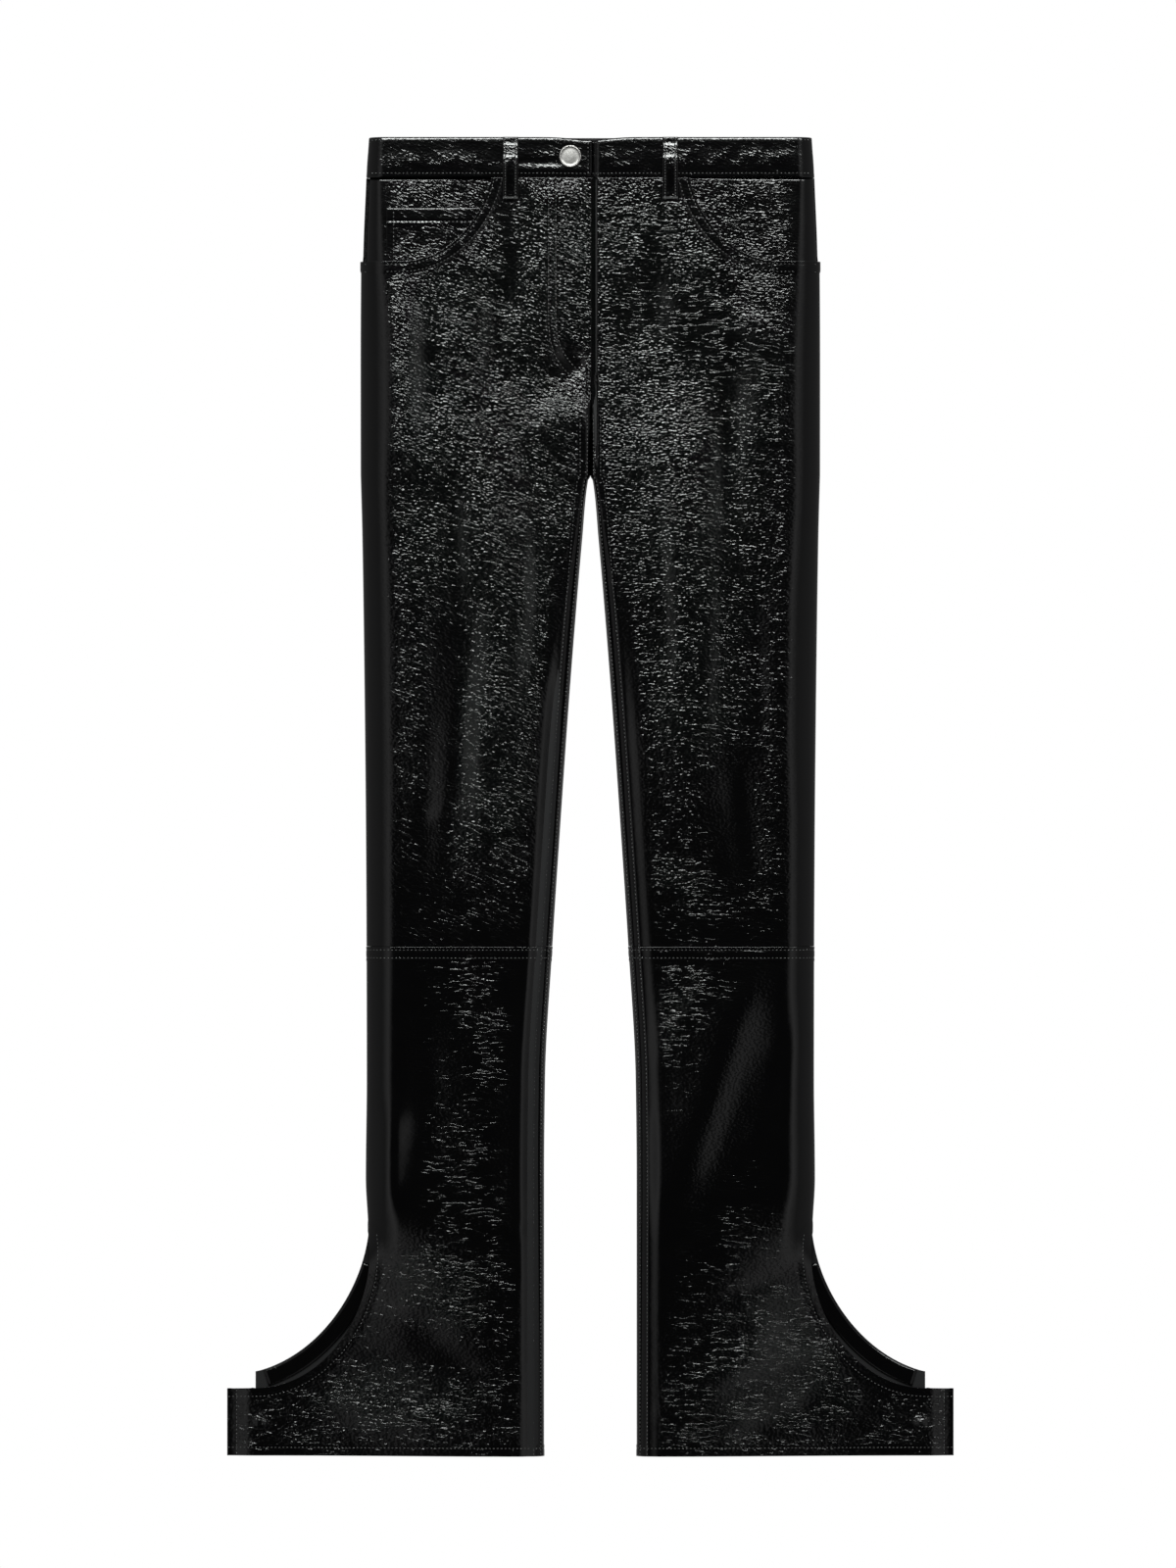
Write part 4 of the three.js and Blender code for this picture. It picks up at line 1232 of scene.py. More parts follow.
@dataclass
class LegOutline:
    """Outer outline of a lower leg: side seam, cut-out, tab top and tab end."""

    cut: Path
    tab: tuple[float, float]
    row_shares: tuple[float, float, float] = (0.45, 0.8, 0.86)
    inseam_drops: tuple[float, float, float] = (925.0, 1070.0, 1086.0)

    def place(self, share: Array, down: Array, width: str) -> tuple[Array, Array]:
        """Reach and drop of each point of the leg's grid.

        Args:
            share: share across from the inseam, one row.
            down: share down from the knee, one column.
            width: the section column that gives the outer fold's width.

        Returns:
            The reach and the drop.
        """
        seam, cut, top = self.row_shares
        end_reach, end_drop = self.cut.points[-1]
        corner = (self.tab[0], max(self.tab[1], end_drop))
        start = KNEE_DROP + SEAM / 2
        seam_drop = mix(start, self.cut.points[0, 1], np.clip(down / seam, 0, 1))
        pinch = smooth(down / seam, 0.94, 1)
        seam_reach = mix(SECTIONS.at("outer", seam_drop), self.cut.points[0, 0], pinch)
        cut_reach, cut_drop = self.cut.at(np.clip((down - seam) / (cut - seam), 0, 1))
        top_share = np.clip((down - cut) / (top - cut), 0, 1)
        end_share = np.clip((down - top) / (1 - top), 0, 1)
        stages = [down <= seam, down <= cut, down <= top]
        edge_reach = np.select(stages, [seam_reach, cut_reach, mix(end_reach, corner[0], top_share)], corner[0])
        edge_drop = np.select(
            stages,
            [seam_drop, cut_drop, mix(end_drop, corner[1], top_share)],
            mix(corner[1], LENGTH, end_share),
        )
        d0, d1, d2 = self.inseam_drops
        drop = np.select(
            stages,
            [seam_drop, mix(d0, d1, (down - seam) / (cut - seam)), mix(d1, d2, top_share)],
            mix(d2, LENGTH, end_share),
        )
        inner = SECTIONS.at("inner", drop)
        reach = reach_across(share, inner, edge_reach, INNER_ROLL, SECTIONS.at(width, drop))
        along = (reach - inner) / (edge_reach - inner)
        return reach, mix(drop, edge_drop, along)


FRONT_OUTLINE = LegOutline(Path.curve(FRONT_CUT), FRONT_TAB)
BACK_OUTLINE = LegOutline(Path.curve(BACK_CUT), BACK_TAB)


def leg_rows(step: float) -> Array:
    """Shares down a lower leg, dense at the knee seam, the tab's edges and the hem.

    Args:
        step: spacing of the grid in the middle.

    Returns:
        The shares in order.
    """
    seam, cut, top = FRONT_OUTLINE.row_shares
    knee = np.concatenate([[0, 0.4, 0.8], even_steps(1.4, 13, 0.75)]) / SHIN_TO_CUT * seam
    down_seam = np.linspace(knee[-1], seam, int(228 / step) + 1)[1:]
    down_cut = np.linspace(seam, cut, int(CUT_LENGTH / step) + 1)[1:]
    across_top = np.linspace(cut, top, 12)[1:]
    end = top + (1 - top) * edge_steps(TAB_DEPTH, step, dense=10.0, fine=0.8)[1:] / TAB_DEPTH
    return np.concatenate([knee, down_seam, down_cut, across_top, end])


def distances(points: Array) -> tuple[Array, Array]:
    """Distances along a grid's middle row and column, in millimetres.

    Args:
        points: the grid, in metres.

    Returns:
        The distance of each row and of each column from the first.
    """
    rows = points[:, points.shape[1] // 2]
    columns = points[points.shape[0] // 2]
    along = np.concatenate([[0], np.cumsum(np.linalg.norm(np.diff(rows, axis=0), axis=1))])
    across = np.concatenate([[0], np.cumsum(np.linalg.norm(np.diff(columns, axis=0), axis=1))])
    return along / MM, across / MM


@dataclass
class Panel:
    """A leather panel whose height is known at every place."""

    name: str
    side: int
    layer: Layer
    height: Callable[[Array, Array], Array]
    plain: Callable[[Array, Array], Array]
    seams: list[Seam] = field(default_factory=list)
    thickness: float = LEATHER
    depth: float = 0.0
    fold_depth: float = 0.0
    rim_size: float = 0.9
    rim_depth: float = 0.06

    def outside(self, reach: Array, drop: Array) -> Array:
        """Height of the outside with its seams.

        Args:
            reach: distances from the centre line.
            drop: distances below the waist.

        Returns:
            The height at each place.
        """
        value = self.height(reach, drop)
        for seam in self.seams:
            value = value + self.layer.value * seam.relief(reach, drop)
        return value

    def build(self, reach: Array, drop: Array, finishes: Sequence[Any]) -> bpy.types.Object:
        """Makes the panel from a grid of places.

        Args:
            reach: reach of each point of the grid.
            drop: drop of each point.
            finishes: materials of the outside and inside.

        Returns:
            The panel's object.
        """
        base = to_points(self.side, reach, drop, self.plain(reach, drop))
        normal = grid_normals(base, self.layer.value)
        if self.depth:
            base = base - normal * self.depth * MM
        relief = self.outside(reach, drop) - self.plain(reach, drop)
        rim = soft_rim(*distances(base), self.rim_size, self.rim_depth, self.fold_depth)
        strengths = grain_at(self.side, reach, drop)
        for seam in self.seams:
            covered = 1 - smooth(seam.line.distance(reach, drop), seam.band - 1.5, seam.band + 0.5)
            strengths = tuple(value * (1 - 0.5 * covered) for value in strengths)
        raised = self.layer.value * relief - rim
        return shell(self.name, base, normal, raised, self.thickness, finishes, strengths)

    def surface(self, path: Path, above: float) -> tuple[Array, Array]:
        """Points and directions out of the panel along a path.

        Args:
            path: the path in (reach, drop).
            above: how far over the panel the points lie.

        Returns:
            Points and unit normals.
        """
        reach, drop = path.points[:, 0], path.points[:, 1]
        step = 0.4
        base = to_points(self.side, reach, drop, self.outside(reach, drop))
        along = to_points(self.side, reach + step, drop, self.outside(reach + step, drop)) - base
        down = to_points(self.side, reach, drop + step, self.outside(reach, drop + step)) - base
        normal = np.cross(along, down)
        normal /= np.linalg.norm(normal, axis=1)[:, None]
        normal *= np.sign(normal[:, 2:3]) * self.layer.value
        return base + normal * (above - self.depth) * MM, normal


def front_panel(
    name: str,
    side: int,
    seams: list[Seam],
    thickness: float = LEATHER,
    depth: float = 0.0,
) -> Panel:
    """A panel on the front's surface, or under it.

    Args:
        name: the node that it stands for.
        side: RIGHT or LEFT.
        seams: the seams sewn into it.
        thickness: the wall's thickness.
        depth: how far it lies under the front's surface.

    Returns:
        The panel.
    """
    return Panel(
        name,
        side,
        Layer.FRONT,
        lambda reach, drop: front_height(side, reach, drop),
        lambda reach, drop: front_height(side, reach, drop, creased=False),
        seams,
        thickness,
        depth,
    )


@dataclass
class Stitching:
    """Rows of stitches along paths, made by one Geometry Nodes tree."""

    pitch: float = 3.3
    length: float = 2.1
    width: float = 0.85
    seed: int = 7
    tree: Any = None

    def __post_init__(self) -> None:
        """Builds the tree once."""
        self.tree = self.build_tree()

    def build_tree(self) -> bpy.types.NodeTree:
        """Builds the tree that lays a stitch every pitch along each line.

        Returns:
            The node tree.
        """
        tree = bpy.data.node_groups.new("stitch_rows", "GeometryNodeTree")
        face = tree.interface
        face.new_socket("Geometry", in_out="INPUT", socket_type="NodeSocketGeometry")
        for name in ("Pitch", "Stitch length", "Thread width"):
            face.new_socket(name, in_out="INPUT", socket_type="NodeSocketFloat")
        face.new_socket("Thread", in_out="INPUT", socket_type="NodeSocketMaterial")
        face.new_socket("Geometry", in_out="OUTPUT", socket_type="NodeSocketGeometry")

        def add(kind: str, inputs: dict[Any, Any], **settings: Any) -> Any:
            """Adds a node, sets it and links its inputs.

            Args:
                kind: the node's type.
                inputs: value or socket for each input.
                **settings: its properties.

            Returns:
                The node.
            """
            made = tree.nodes.new(kind)
            for key, value in settings.items():
                setattr(made, key, value)
            for key, value in inputs.items():
                if isinstance(value, bpy.types.NodeSocket):
                    tree.links.new(value, made.inputs[key])
                else:
                    made.inputs[key].default_value = value
            return made

        given = tree.nodes.new("NodeGroupInput").outputs
        curve = add("GeometryNodeMeshToCurve", {0: given["Geometry"]})
        lines = {"Curve": curve.outputs[0], "Length": given["Pitch"]}
        rows = add("GeometryNodeResampleCurve", lines, mode="LENGTH")
        along = add("GeometryNodeInputTangent", {})
        out = add("GeometryNodeInputNamedAttribute", {"Name": "out"}, data_type="FLOAT_VECTOR")
        upright = add("FunctionNodeAlignEulerToVector", {"Vector": out.outputs[0]}, axis="Z")
        turned = add(
            "FunctionNodeAlignEulerToVector",
            {"Rotation": upright.outputs[0], "Vector": along.outputs[0]},
            axis="X",
            pivot_axis="Z",
        )
        ball = add("GeometryNodeMeshUVSphere", {"Segments": 6, "Rings": 5, "Radius": 0.5})
        size = add("ShaderNodeCombineXYZ", {
            0: given["Stitch length"],
            1: given["Thread width"],
            2: given["Thread width"],
        })
        spread = {"Min": (0.88, 0.9, 0.8), "Max": (1.08, 1.1, 1.1), "Seed": self.seed}
        uneven = add("FunctionNodeRandomValue", spread, data_type="FLOAT_VECTOR")
        scale = add("ShaderNodeVectorMath", {0: size.outputs[0], 1: uneven.outputs[0]}, operation="MULTIPLY")
        placed = add("GeometryNodeInstanceOnPoints", {
            "Points": rows.outputs[0],
            "Instance": ball.outputs[0],
            "Rotation": turned.outputs[0],
            "Scale": scale.outputs[0],
        })
        solid = add("GeometryNodeRealizeInstances", {0: placed.outputs[0]})
        shaded = add("GeometryNodeSetShadeSmooth", {0: solid.outputs[0]})
        dyed = add("GeometryNodeSetMaterial", {0: shaded.outputs[0], "Material": given["Thread"]})
        end = tree.nodes.new("NodeGroupOutput")
        tree.links.new(dyed.outputs[0], end.inputs[0])
        return tree

    def sew(
        self,
        name: str,
        rows: Sequence[tuple[Array, Array]],
        thread: bpy.types.Material,
        pitch: float = 0.0,
        length: float = 0.0,
        width: float = 0.0,
    ) -> bpy.types.Object:
        """Makes one mesh of stitches.

        Args:
            name: the object's name.
            rows: points and normals of each row.
            thread: the thread's material.
            pitch: distance between stitches, or 0 for the usual one.
            length: length of a stitch, or 0 for the usual one.
            width: width of the thread, or 0 for the usual one.

        Returns:
            The stitches' object, a plain mesh.
        """
        points = np.concatenate([row[0] for row in rows])
        outs = np.concatenate([row[1] for row in rows])
        edges, start = [], 0
        for row, _ in rows:
            edges += [(start + i, start + i + 1) for i in range(len(row) - 1)]
            start += len(row)
        guide = bpy.data.meshes.new(name + "_guide")
        guide.from_pydata(points.tolist(), edges, [])
        guide.attributes.new("out", "FLOAT_VECTOR", "POINT").data.foreach_set("vector", outs.reshape(-1))
        made = bpy.data.objects.new(name, guide)
        bpy.context.scene.collection.objects.link(made)
        modifier = made.modifiers.new("stitches", "NODES")
        modifier.node_group = self.tree
        values = {
            "Pitch": (pitch or self.pitch) * MM,
            "Stitch length": (length or self.length) * MM,
            "Thread width": (width or self.width) * MM,
            "Thread": thread,
        }
        for item in self.tree.interface.items_tree:
            if item.name in values:
                modifier[item.identifier] = values[item.name]
        bpy.context.view_layer.update()
        seen = made.evaluated_get(bpy.context.evaluated_depsgraph_get())
        plain = bpy.data.meshes.new_from_object(seen)
        made.modifiers.remove(modifier)
        made.data = plain
        if not plain.materials:
            plain.materials.append(thread)
        return made


def ride(piece: bpy.types.Object, node: str = "") -> None:
    """Tells the frame what a piece is.

    Args:
        piece: the piece.
        node: the CAD node that it stands for, if any.
    """
    if node:
        piece.name = node + DETAIL
        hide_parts(node)
    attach(piece, "root")
    log.info("%s: %d faces", piece.name, len(piece.data.polygons))


def lay_sheet(piece: bpy.types.Object) -> None:
    """Works out a panel's flat width, length and cut area; nothing keeps them.

    Args:
        piece: the panel.
    """
    corners = np.array([v.co for v in piece.data.vertices])
    low, high = corners.min(axis=0), corners.max(axis=0)
    width, length = (high - low)[:2] + 0.012
    area = sum(face.area for face in piece.data.polygons) / 2
    area = float(np.clip(area, 0.31 * width * length, width * length))


def lay_panel(piece: bpy.types.Object, node: str) -> None:
    """Args:
        piece: the panel.
        node: the CAD node that it stands for.
    """
    ride(piece, node)
    lay_sheet(piece)


@dataclass
class Leg:
    """One leg with its half of the body: thigh and shin fronts, thigh and calf backs."""

    side: int
    materials: Materials
    stitching: Stitching
    step: float = 2.4
    back_step: float = 5.0
    rows: list[tuple[Array, Array]] = field(default_factory=list)

    def back(self, name: str) -> Panel:
        """A panel on the back's surface, with its shallow creases.

        Args:
            name: the node's name without its side.

        Returns:
            The panel.
        """
        side = self.side
        return Panel(
            f"{name}_{SIDE_NAMES[side]}",
            side,
            Layer.BACK,
            lambda reach, drop: back_height(reach, drop) + folds_at(BACK_CREASES, side, reach, drop),
            back_height,
        )

    def thigh_grid(self) -> tuple[Array, Array]:
        """Reach and drop of the thigh front's grid, whose first row follows the pocket.

        Returns:
            The reach and the drop of each point.
        """
        share = across_shares(self.step)
        if self.side == LEFT:
            share = np.sort(np.append(share, INNER_SHARE + np.array([0.3, 0.7, 1.1, 1.6]) / 290))
        share = share[None, :]
        down = edge_steps(THIGH_LENGTH, self.step, dense=13.0)[:, None] / THIGH_LENGTH
        lap = lambda drop: SECTIONS.at("inner", drop) - FLY_LAP[self.side] * (1 - smooth(drop, 198, 215))
        along = (share - POCKET_CORNER) / (OUTER_SHARE - POCKET_CORNER)
        curve_reach, curve_drop = POCKET_EDGE.at(np.clip(along, 0, 1))
        turn = np.clip((share - OUTER_SHARE) / (1 - OUTER_SHARE), 0, 1)
        outer = float(SECTIONS.at("outer", POCKET_LEVEL[1]))
        end_reach = outer - (outer - POCKET_LEVEL[0]) * (1 - np.sin(np.pi / 2 * turn))
        rounded = INNER_ROLL * (1 - np.cos(np.pi / 2 * np.clip(share / INNER_SHARE, 0, 1)))
        spread = np.clip((share - INNER_SHARE) / (POCKET_CORNER - INNER_SHARE), 0, 1)
        near_reach = mix(float(lap(TOP)) + rounded, POCKET_START[0], spread)
        stages = [share <= POCKET_CORNER, share <= OUTER_SHARE]
        top_reach = np.select(stages, [near_reach, curve_reach], end_reach)
        top_drop = np.select(stages, [TOP + 0 * share, curve_drop], POCKET_LEVEL[1])
        drop = mix(top_drop, KNEE_DROP - SEAM / 2, down)

        def standard(level: Array) -> Array:
            """Reach with no pocket."""
            roll = SECTIONS.at("roll", level)
            return reach_across(share, lap(level), SECTIONS.at("outer", level), INNER_ROLL, roll)

        steer = (top_reach - standard(top_drop)) * (1 - smooth(drop - top_drop, 0, POCKET_FADE))
        return standard(drop) + steer, drop

    def build(self) -> None:
        """Makes the leg's four panels and its stitches."""
        side = self.side
        label = SIDE_NAMES[side]
        finishes = (self.materials.leather(side), self.materials.inside)
        thigh = front_panel(f"thigh_front_{label}", side, [SCOOP_SEAM, inseam(232, KNEE_DROP)])
        lower_seams = [KNEE_SEAM, inseam(KNEE_DROP, LENGTH), HEM_SEAM, CUT_SEAM, TAB_END_SEAM]
        shin = front_panel(f"shin_front_{label}", side, lower_seams)
        if side == RIGHT:
            thigh.seams += [Seam(row, (0.0,), band=1.6, lift=0.0, sink=0.15) for row in (FLY_OUTER, FLY_INNER)]
        lay_panel(thigh.build(*self.thigh_grid(), finishes), thigh.name)
        share, down = across_shares(self.step)[None, :], leg_rows(self.step)[:, None]
        shin_finishes = (self.materials.shin, self.materials.inside)
        piece = shin.build(*FRONT_OUTLINE.place(share, down, "roll"), shin_finishes)
        lay_panel(piece, shin.name)

        share = across_shares(self.back_step)[None, :]
        down = edge_steps(THIGH_LENGTH, self.back_step, dense=6.0, fine=1.5)[:, None] / THIGH_LENGTH
        drop = mix(TOP, KNEE_DROP - SEAM / 2, down)
        inner, turn = SECTIONS.at("inner", drop), SECTIONS.at("turn", drop)
        reach = reach_across(share, inner, back_outer(drop), INNER_ROLL, turn)
        seat = self.back("thigh_back")
        lay_panel(seat.build(reach, drop + 0 * share, finishes), seat.name)
        down = leg_rows(self.back_step)[:, None]
        calf = self.back("calf_back")
        lay_panel(calf.build(*BACK_OUTLINE.place(share, down, "turn"), finishes), calf.name)
        self.sew(thigh, shin)

    def sew(self, thigh: Panel, shin: Panel) -> None:
        """Lays the leg's stitches.

        Args:
            thigh: the thigh front.
            shin: the shin front.
        """
        label = SIDE_NAMES[self.side]
        rows = [thigh.surface(row, STITCH_LIFT) for row in SCOOP_SEAM.stitch_rows()]
        for panel, start, end in ((thigh, 236, 683), (shin, 685, 1113)):
            for offset in INSEAM_ROWS:
                rows.append(panel.surface(leg_edge("inner", start, end, offset), STITCH_LIFT))
        knee = [KNEE_DROP + offset for offset in KNEE_SEAM.rows]
        lines = [Path.straight((34.0, level), (187.5, level), 70) for level in knee]
        hem = LENGTH - HEM_SEAM.rows[0]
        lines.append(Path.straight((40.5, hem), (306.0, hem), 120))
        lines += [row.cut(0.02, 0.995) for row in CUT_SEAM.stitch_rows()]
        end = FRONT_TAB[0] - TAB_END_SEAM.rows[0]
        lines.append(Path.straight((end, 1060.0), (end, 1113.0), 30))
        rows += [shin.surface(line, STITCH_LIFT) for line in lines]
        if self.side == RIGHT:
            lines = [row.cut(0, 1) for row in (FLY_OUTER, FLY_INNER)]
            lines += [Path([(reach, 186), (reach, 205), (reach, 224)]) for reach in (1.3, 4.4)]
            rows += [thigh.surface(line, STITCH_LIFT) for line in lines]
        piece = self.stitching.sew(f"stitching_leg_{label}", rows, self.materials.thread)
        ride(piece)
        if self.side == RIGHT:
            ends = [[(1.0, 186), (6.5, 186)], [(1.0, 202.4), (5.5, 202.0)]]
            bars = [thigh.surface(Path(line), 0.3) for line in ends]
            piece = self.stitching.sew("fly_bartacks", bars, self.materials.thread, pitch=0.55, length=1.3)
            ride(piece)


@dataclass
class Pocket:
    """The hip leather inside one scoop, and on the right the coin pocket."""

    side: int
    materials: Materials
    stitching: Stitching
    roll: float = 22.0
    flat: float = 0.7

    def build(self) -> None:
        """Makes the bearer and the coin pocket."""
        label = SIDE_NAMES[self.side]
        edge = lambda drop: SECTIONS.at("outer", drop) - 0.2
        lower = Path.curve(BEARER_CURVE).then((float(edge(BEARER_LEVEL)) - self.roll, BEARER_LEVEL))
        share = np.concatenate([np.linspace(0, self.flat, 48), np.linspace(self.flat, 1, 12)[1:]])[None, :]
        down = np.linspace(0, 1, 36)[:, None]
        bottom_reach, bottom_drop = lower.at(np.clip(share / self.flat, 0, 1))
        top_reach = mix(BEARER_CURVE[0][0], float(edge(TOP)) - self.roll, np.clip(share / self.flat, 0, 1))
        turn = 0.965 * np.clip((share - self.flat) / (1 - self.flat), 0, 1)
        drop = np.where(share <= self.flat, mix(TOP, bottom_drop, down), mix(TOP, BEARER_LEVEL, down))
        round_reach = edge(drop) - self.roll * (1 - np.sin(np.pi / 2 * turn))
        reach = np.where(share <= self.flat, mix(top_reach, bottom_reach, down), round_reach)
        finishes = (self.materials.leather(self.side), self.materials.inside)
        bearer = front_panel(f"pocket_bearer_{label}", self.side, [], depth=BEARER_DEPTH[self.side])
        lay_panel(bearer.build(reach, drop, finishes), bearer.name)
        if self.side == RIGHT:
            self.build_coin_pocket(finishes)

    def build_coin_pocket(self, finishes: Sequence[Any]) -> None:
        """Makes the coin pocket on the right bearer.

        Args:
            finishes: materials of its outside and inside.
        """
        lower = Path.curve(COIN_CURVE).then((COIN_OUTER, 111.5))
        wide, high = 100.0, 50.0
        share = (edge_steps(wide, 2.0, dense=8.0) / wide)[None, :]
        down = (edge_steps(high, 1.6, dense=13.0) / high)[:, None]
        bottom_reach, bottom_drop = lower.at(share)
        reach = mix(mix(COIN_CURVE[0][0], COIN_OUTER, share), bottom_reach, down)
        drop = mix(COIN_TOP, bottom_drop, down)
        depth = BEARER_DEPTH[RIGHT] - 0.55 - COIN_THICK
        patch = front_panel("coin_pocket", self.side, [COIN_SEAM, COIN_SIDE], COIN_THICK, depth)
        patch.rim_size, patch.rim_depth = 1.9, 0.42
        lay_panel(patch.build(reach, drop, finishes), patch.name)
        level, edge = COIN_TOP + COIN_SEAM.rows[0], COIN_OUTER - COIN_SIDE.rows[0]
        across = Path.straight((92.0, level), (COIN_OUTER - 1, level), 40)
        upright = Path([(edge, COIN_TOP + 1), (edge, 111)])
        rows = [patch.surface(line, STITCH_LIFT) for line in (across, upright)]
        ride(self.stitching.sew("stitching_coin_pocket", rows, self.materials.thread, width=1.25))


@dataclass(frozen=True)
class Dent:
    """A soft bulge or dent of the waistband."""

    side: int
    reach: float
    drop: float
    wide: float
    high: float
    swell: float


DENTS = [
    Dent(RIGHT, 38, 27.0, 34, 4.0, 0.55),
    Dent(RIGHT, 40, 21.5, 30, 4.0, -0.35),
]

# Slanting creases of the waistband; the swell also says how strong the crinkles are beside them.
BAND_CREASES = by_side(Fold, {
    RIGHT: [
        (172, 26, 150, 17, 5, 0.25), (158, 20, 118, 22, 5, 0.3),
        (128, 15, 84, 22, 5, 0.3), (60, 8, 40, 17, 6, 0.1),
        (52, 20, 26, 12, 5, 0.25),
    ],
    LEFT: [
        (8, 21, 24, 10, 5, 0.3), (14, 27, 44, 21, 4, 0.3),
        (76, 24, 84, 8, 6, 0.35), (96, 27, 124, 6, 4, 0.35),
        (116, 28, 146, 9, 4, 0.3), (140, 26, 172, 12, 5, 0.35),
    ],
})


@dataclass
class Waist:
    """Waistband, belt loops and button."""

    materials: Materials
    stitching: Stitching
    button_x: float = -17.0
    button_drop: float = 16.4
    button_radius: float = 9.5
    front_flat: float = 174.0
    back_flat: float = 0.7
    corner: float = 5.0
    loop_reach: float = 67.5
    loop_width: float = 13.2
    loop_thick: float = 1.8
    loop_bulge: float = 3.4
    loop_end: float = 54.0

    def relief(self, side: int, reach: Array, drop: Array) -> Array:
        """Sunk stitch rows, a low swell across the middle, slanting creases and the listed dents of the
        waistband.

        Args:
            side: RIGHT or LEFT.
            reach: distances from the centre line.
            drop: distances below the waist.

        Returns:
            The raise at each place.
        """
        raised = np.zeros(np.broadcast(reach, drop).shape)
        for row in BAND_ROWS:
            raised = raised - 0.05 * np.exp(-(((drop - row) / 0.8) ** 2))
        raised = raised + 0.15 * smooth(drop, 9, 18) * (1 - smooth(drop, 24, 32))
        raised = raised + 0.35 * folds_at(BAND_CREASES, side, reach, drop)
        for dent in DENTS:
            if dent.side == side:
                away = np.hypot((reach - dent.reach) / dent.wide, (drop - dent.drop) / dent.high)
                raised = raised + dent.swell * np.exp(-(away**2))
        return raised

    def grain(self, side: int, reach: Array, drop: Array) -> tuple[Array, Array]:
        """How strong the waistband's crinkles are: calm at its edges, strong beside its creases.

        Args:
            side: RIGHT or LEFT.
            reach: distances from the centre line.
            drop: distances below the waist.

        Returns:
            The strengths of the fine crinkles and of the long creases.
        """
        middle = smooth(drop, 6, 14) * (1 - smooth(drop, 23, 27))
        beside = folds_at(BAND_CREASES, side, reach, drop)
        middle = middle * (1 - smooth(reach, 168, 180))
        return 0.26 + 0.95 * beside * middle, 0.2 + 0.7 * beside * middle

    def front(self, side: int, inner: float) -> None:
        """Makes one front end of the waistband.

        Args:
            side: RIGHT or LEFT.
            inner: reach of its end.
        """
        label = SIDE_NAMES[side]
        down = (edge_steps(BAND_HEIGHT, 1.6, dense=6.0) / BAND_HEIGHT)[:, None]
        drop = BAND_HEIGHT * down
        outer, roll = BAND_SECTIONS.at("outer", drop), BAND_SECTIONS.at("roll", drop)
        low = np.maximum(drop - BAND_HEIGHT + self.corner, 0)
        start = inner + self.corner - np.sqrt(np.maximum(self.corner**2 - low**2, 0))
        length = self.front_flat - inner
        flat = edge_steps(length, 2.4, dense=4.0)
        flat = flat[flat < length - 4.0] / length
        share = np.concatenate([flat, [1.0]])[None, :]
        turn = np.linspace(0, 1, 14)[1:][None, :]
        rolled = outer - roll * (1 - np.sin(np.pi / 2 * turn))
        reach = np.concatenate([mix(start, outer - roll, share), rolled], axis=1)
        drop = np.broadcast_to(drop, reach.shape)
        points = to_points(side, reach, band_drop(side * reach, down), band_height(side, reach, drop))
        normal = grid_normals(points, 1)
        rim = soft_rim(*distances(points), size=3.0, depth=0.9, fold_depth=0.3)
        raised = self.relief(side, reach, drop) - rim
        node = f"waistband_front_{label}"
        finishes = (self.materials.band, self.materials.inside)
        piece = shell(node, points, normal, raised, BAND_THICK, finishes, self.grain(side, reach, drop))
        lay_panel(piece, node)

    def back(self) -> None:
        """Makes the waistband's back."""
        share = np.linspace(-1, 1, 120)[None, :]
        down = (edge_steps(BAND_HEIGHT, 3.0, dense=5.0, fine=1.2) / BAND_HEIGHT)[:, None]
        drop = BAND_HEIGHT * down
        outer, turn = BAND_SECTIONS.at("outer", drop), BAND_SECTIONS.at("turn", drop)
        flat = self.back_flat
        arc = np.clip((np.abs(share) - flat) / (1 - flat), 0, 1)
        level = mix(0, outer - turn, np.abs(share) / flat)
        reach = np.where(np.abs(share) <= flat, level, outer - turn + turn * np.sin(np.pi / 2 * arc))
        fold = BAND_SECTIONS.at("fold", drop) - SEAM / 2
        height = BACK_LIFT + (fold - BACK_LIFT) * (1 - np.cos(np.pi / 2 * arc))
        points = to_points(1, np.sign(share) * reach, drop + 0 * share, height)
        normal = grid_normals(points, -1)
        rim = soft_rim(*distances(points), size=1.4, depth=0.6, fold_depth=0.1)
        finishes = (self.materials.band, self.materials.inside)
        piece = shell("waistband_back", points, normal, -rim, BAND_THICK, finishes)
        lay_panel(piece, "waistband_back")

    def band_point(self, side: int, reach: Array, down: Array) -> tuple[Array, Array]:
        """Points and normals on the front of the waistband.

        Args:
            side: RIGHT or LEFT.
            reach: distances from the centre line.
            down: shares down from the top edge.

        Returns:
            The points and their normals.
        """
        drop = BAND_HEIGHT * down
        value = band_height(side, reach, drop) + self.relief(side, reach, drop)
        points = to_points(side, reach, band_drop(side * reach, down), value)
        normals = np.zeros_like(points)
        normals[:, 2] = 1.0
        return points + normals * 0.25 * MM, normals

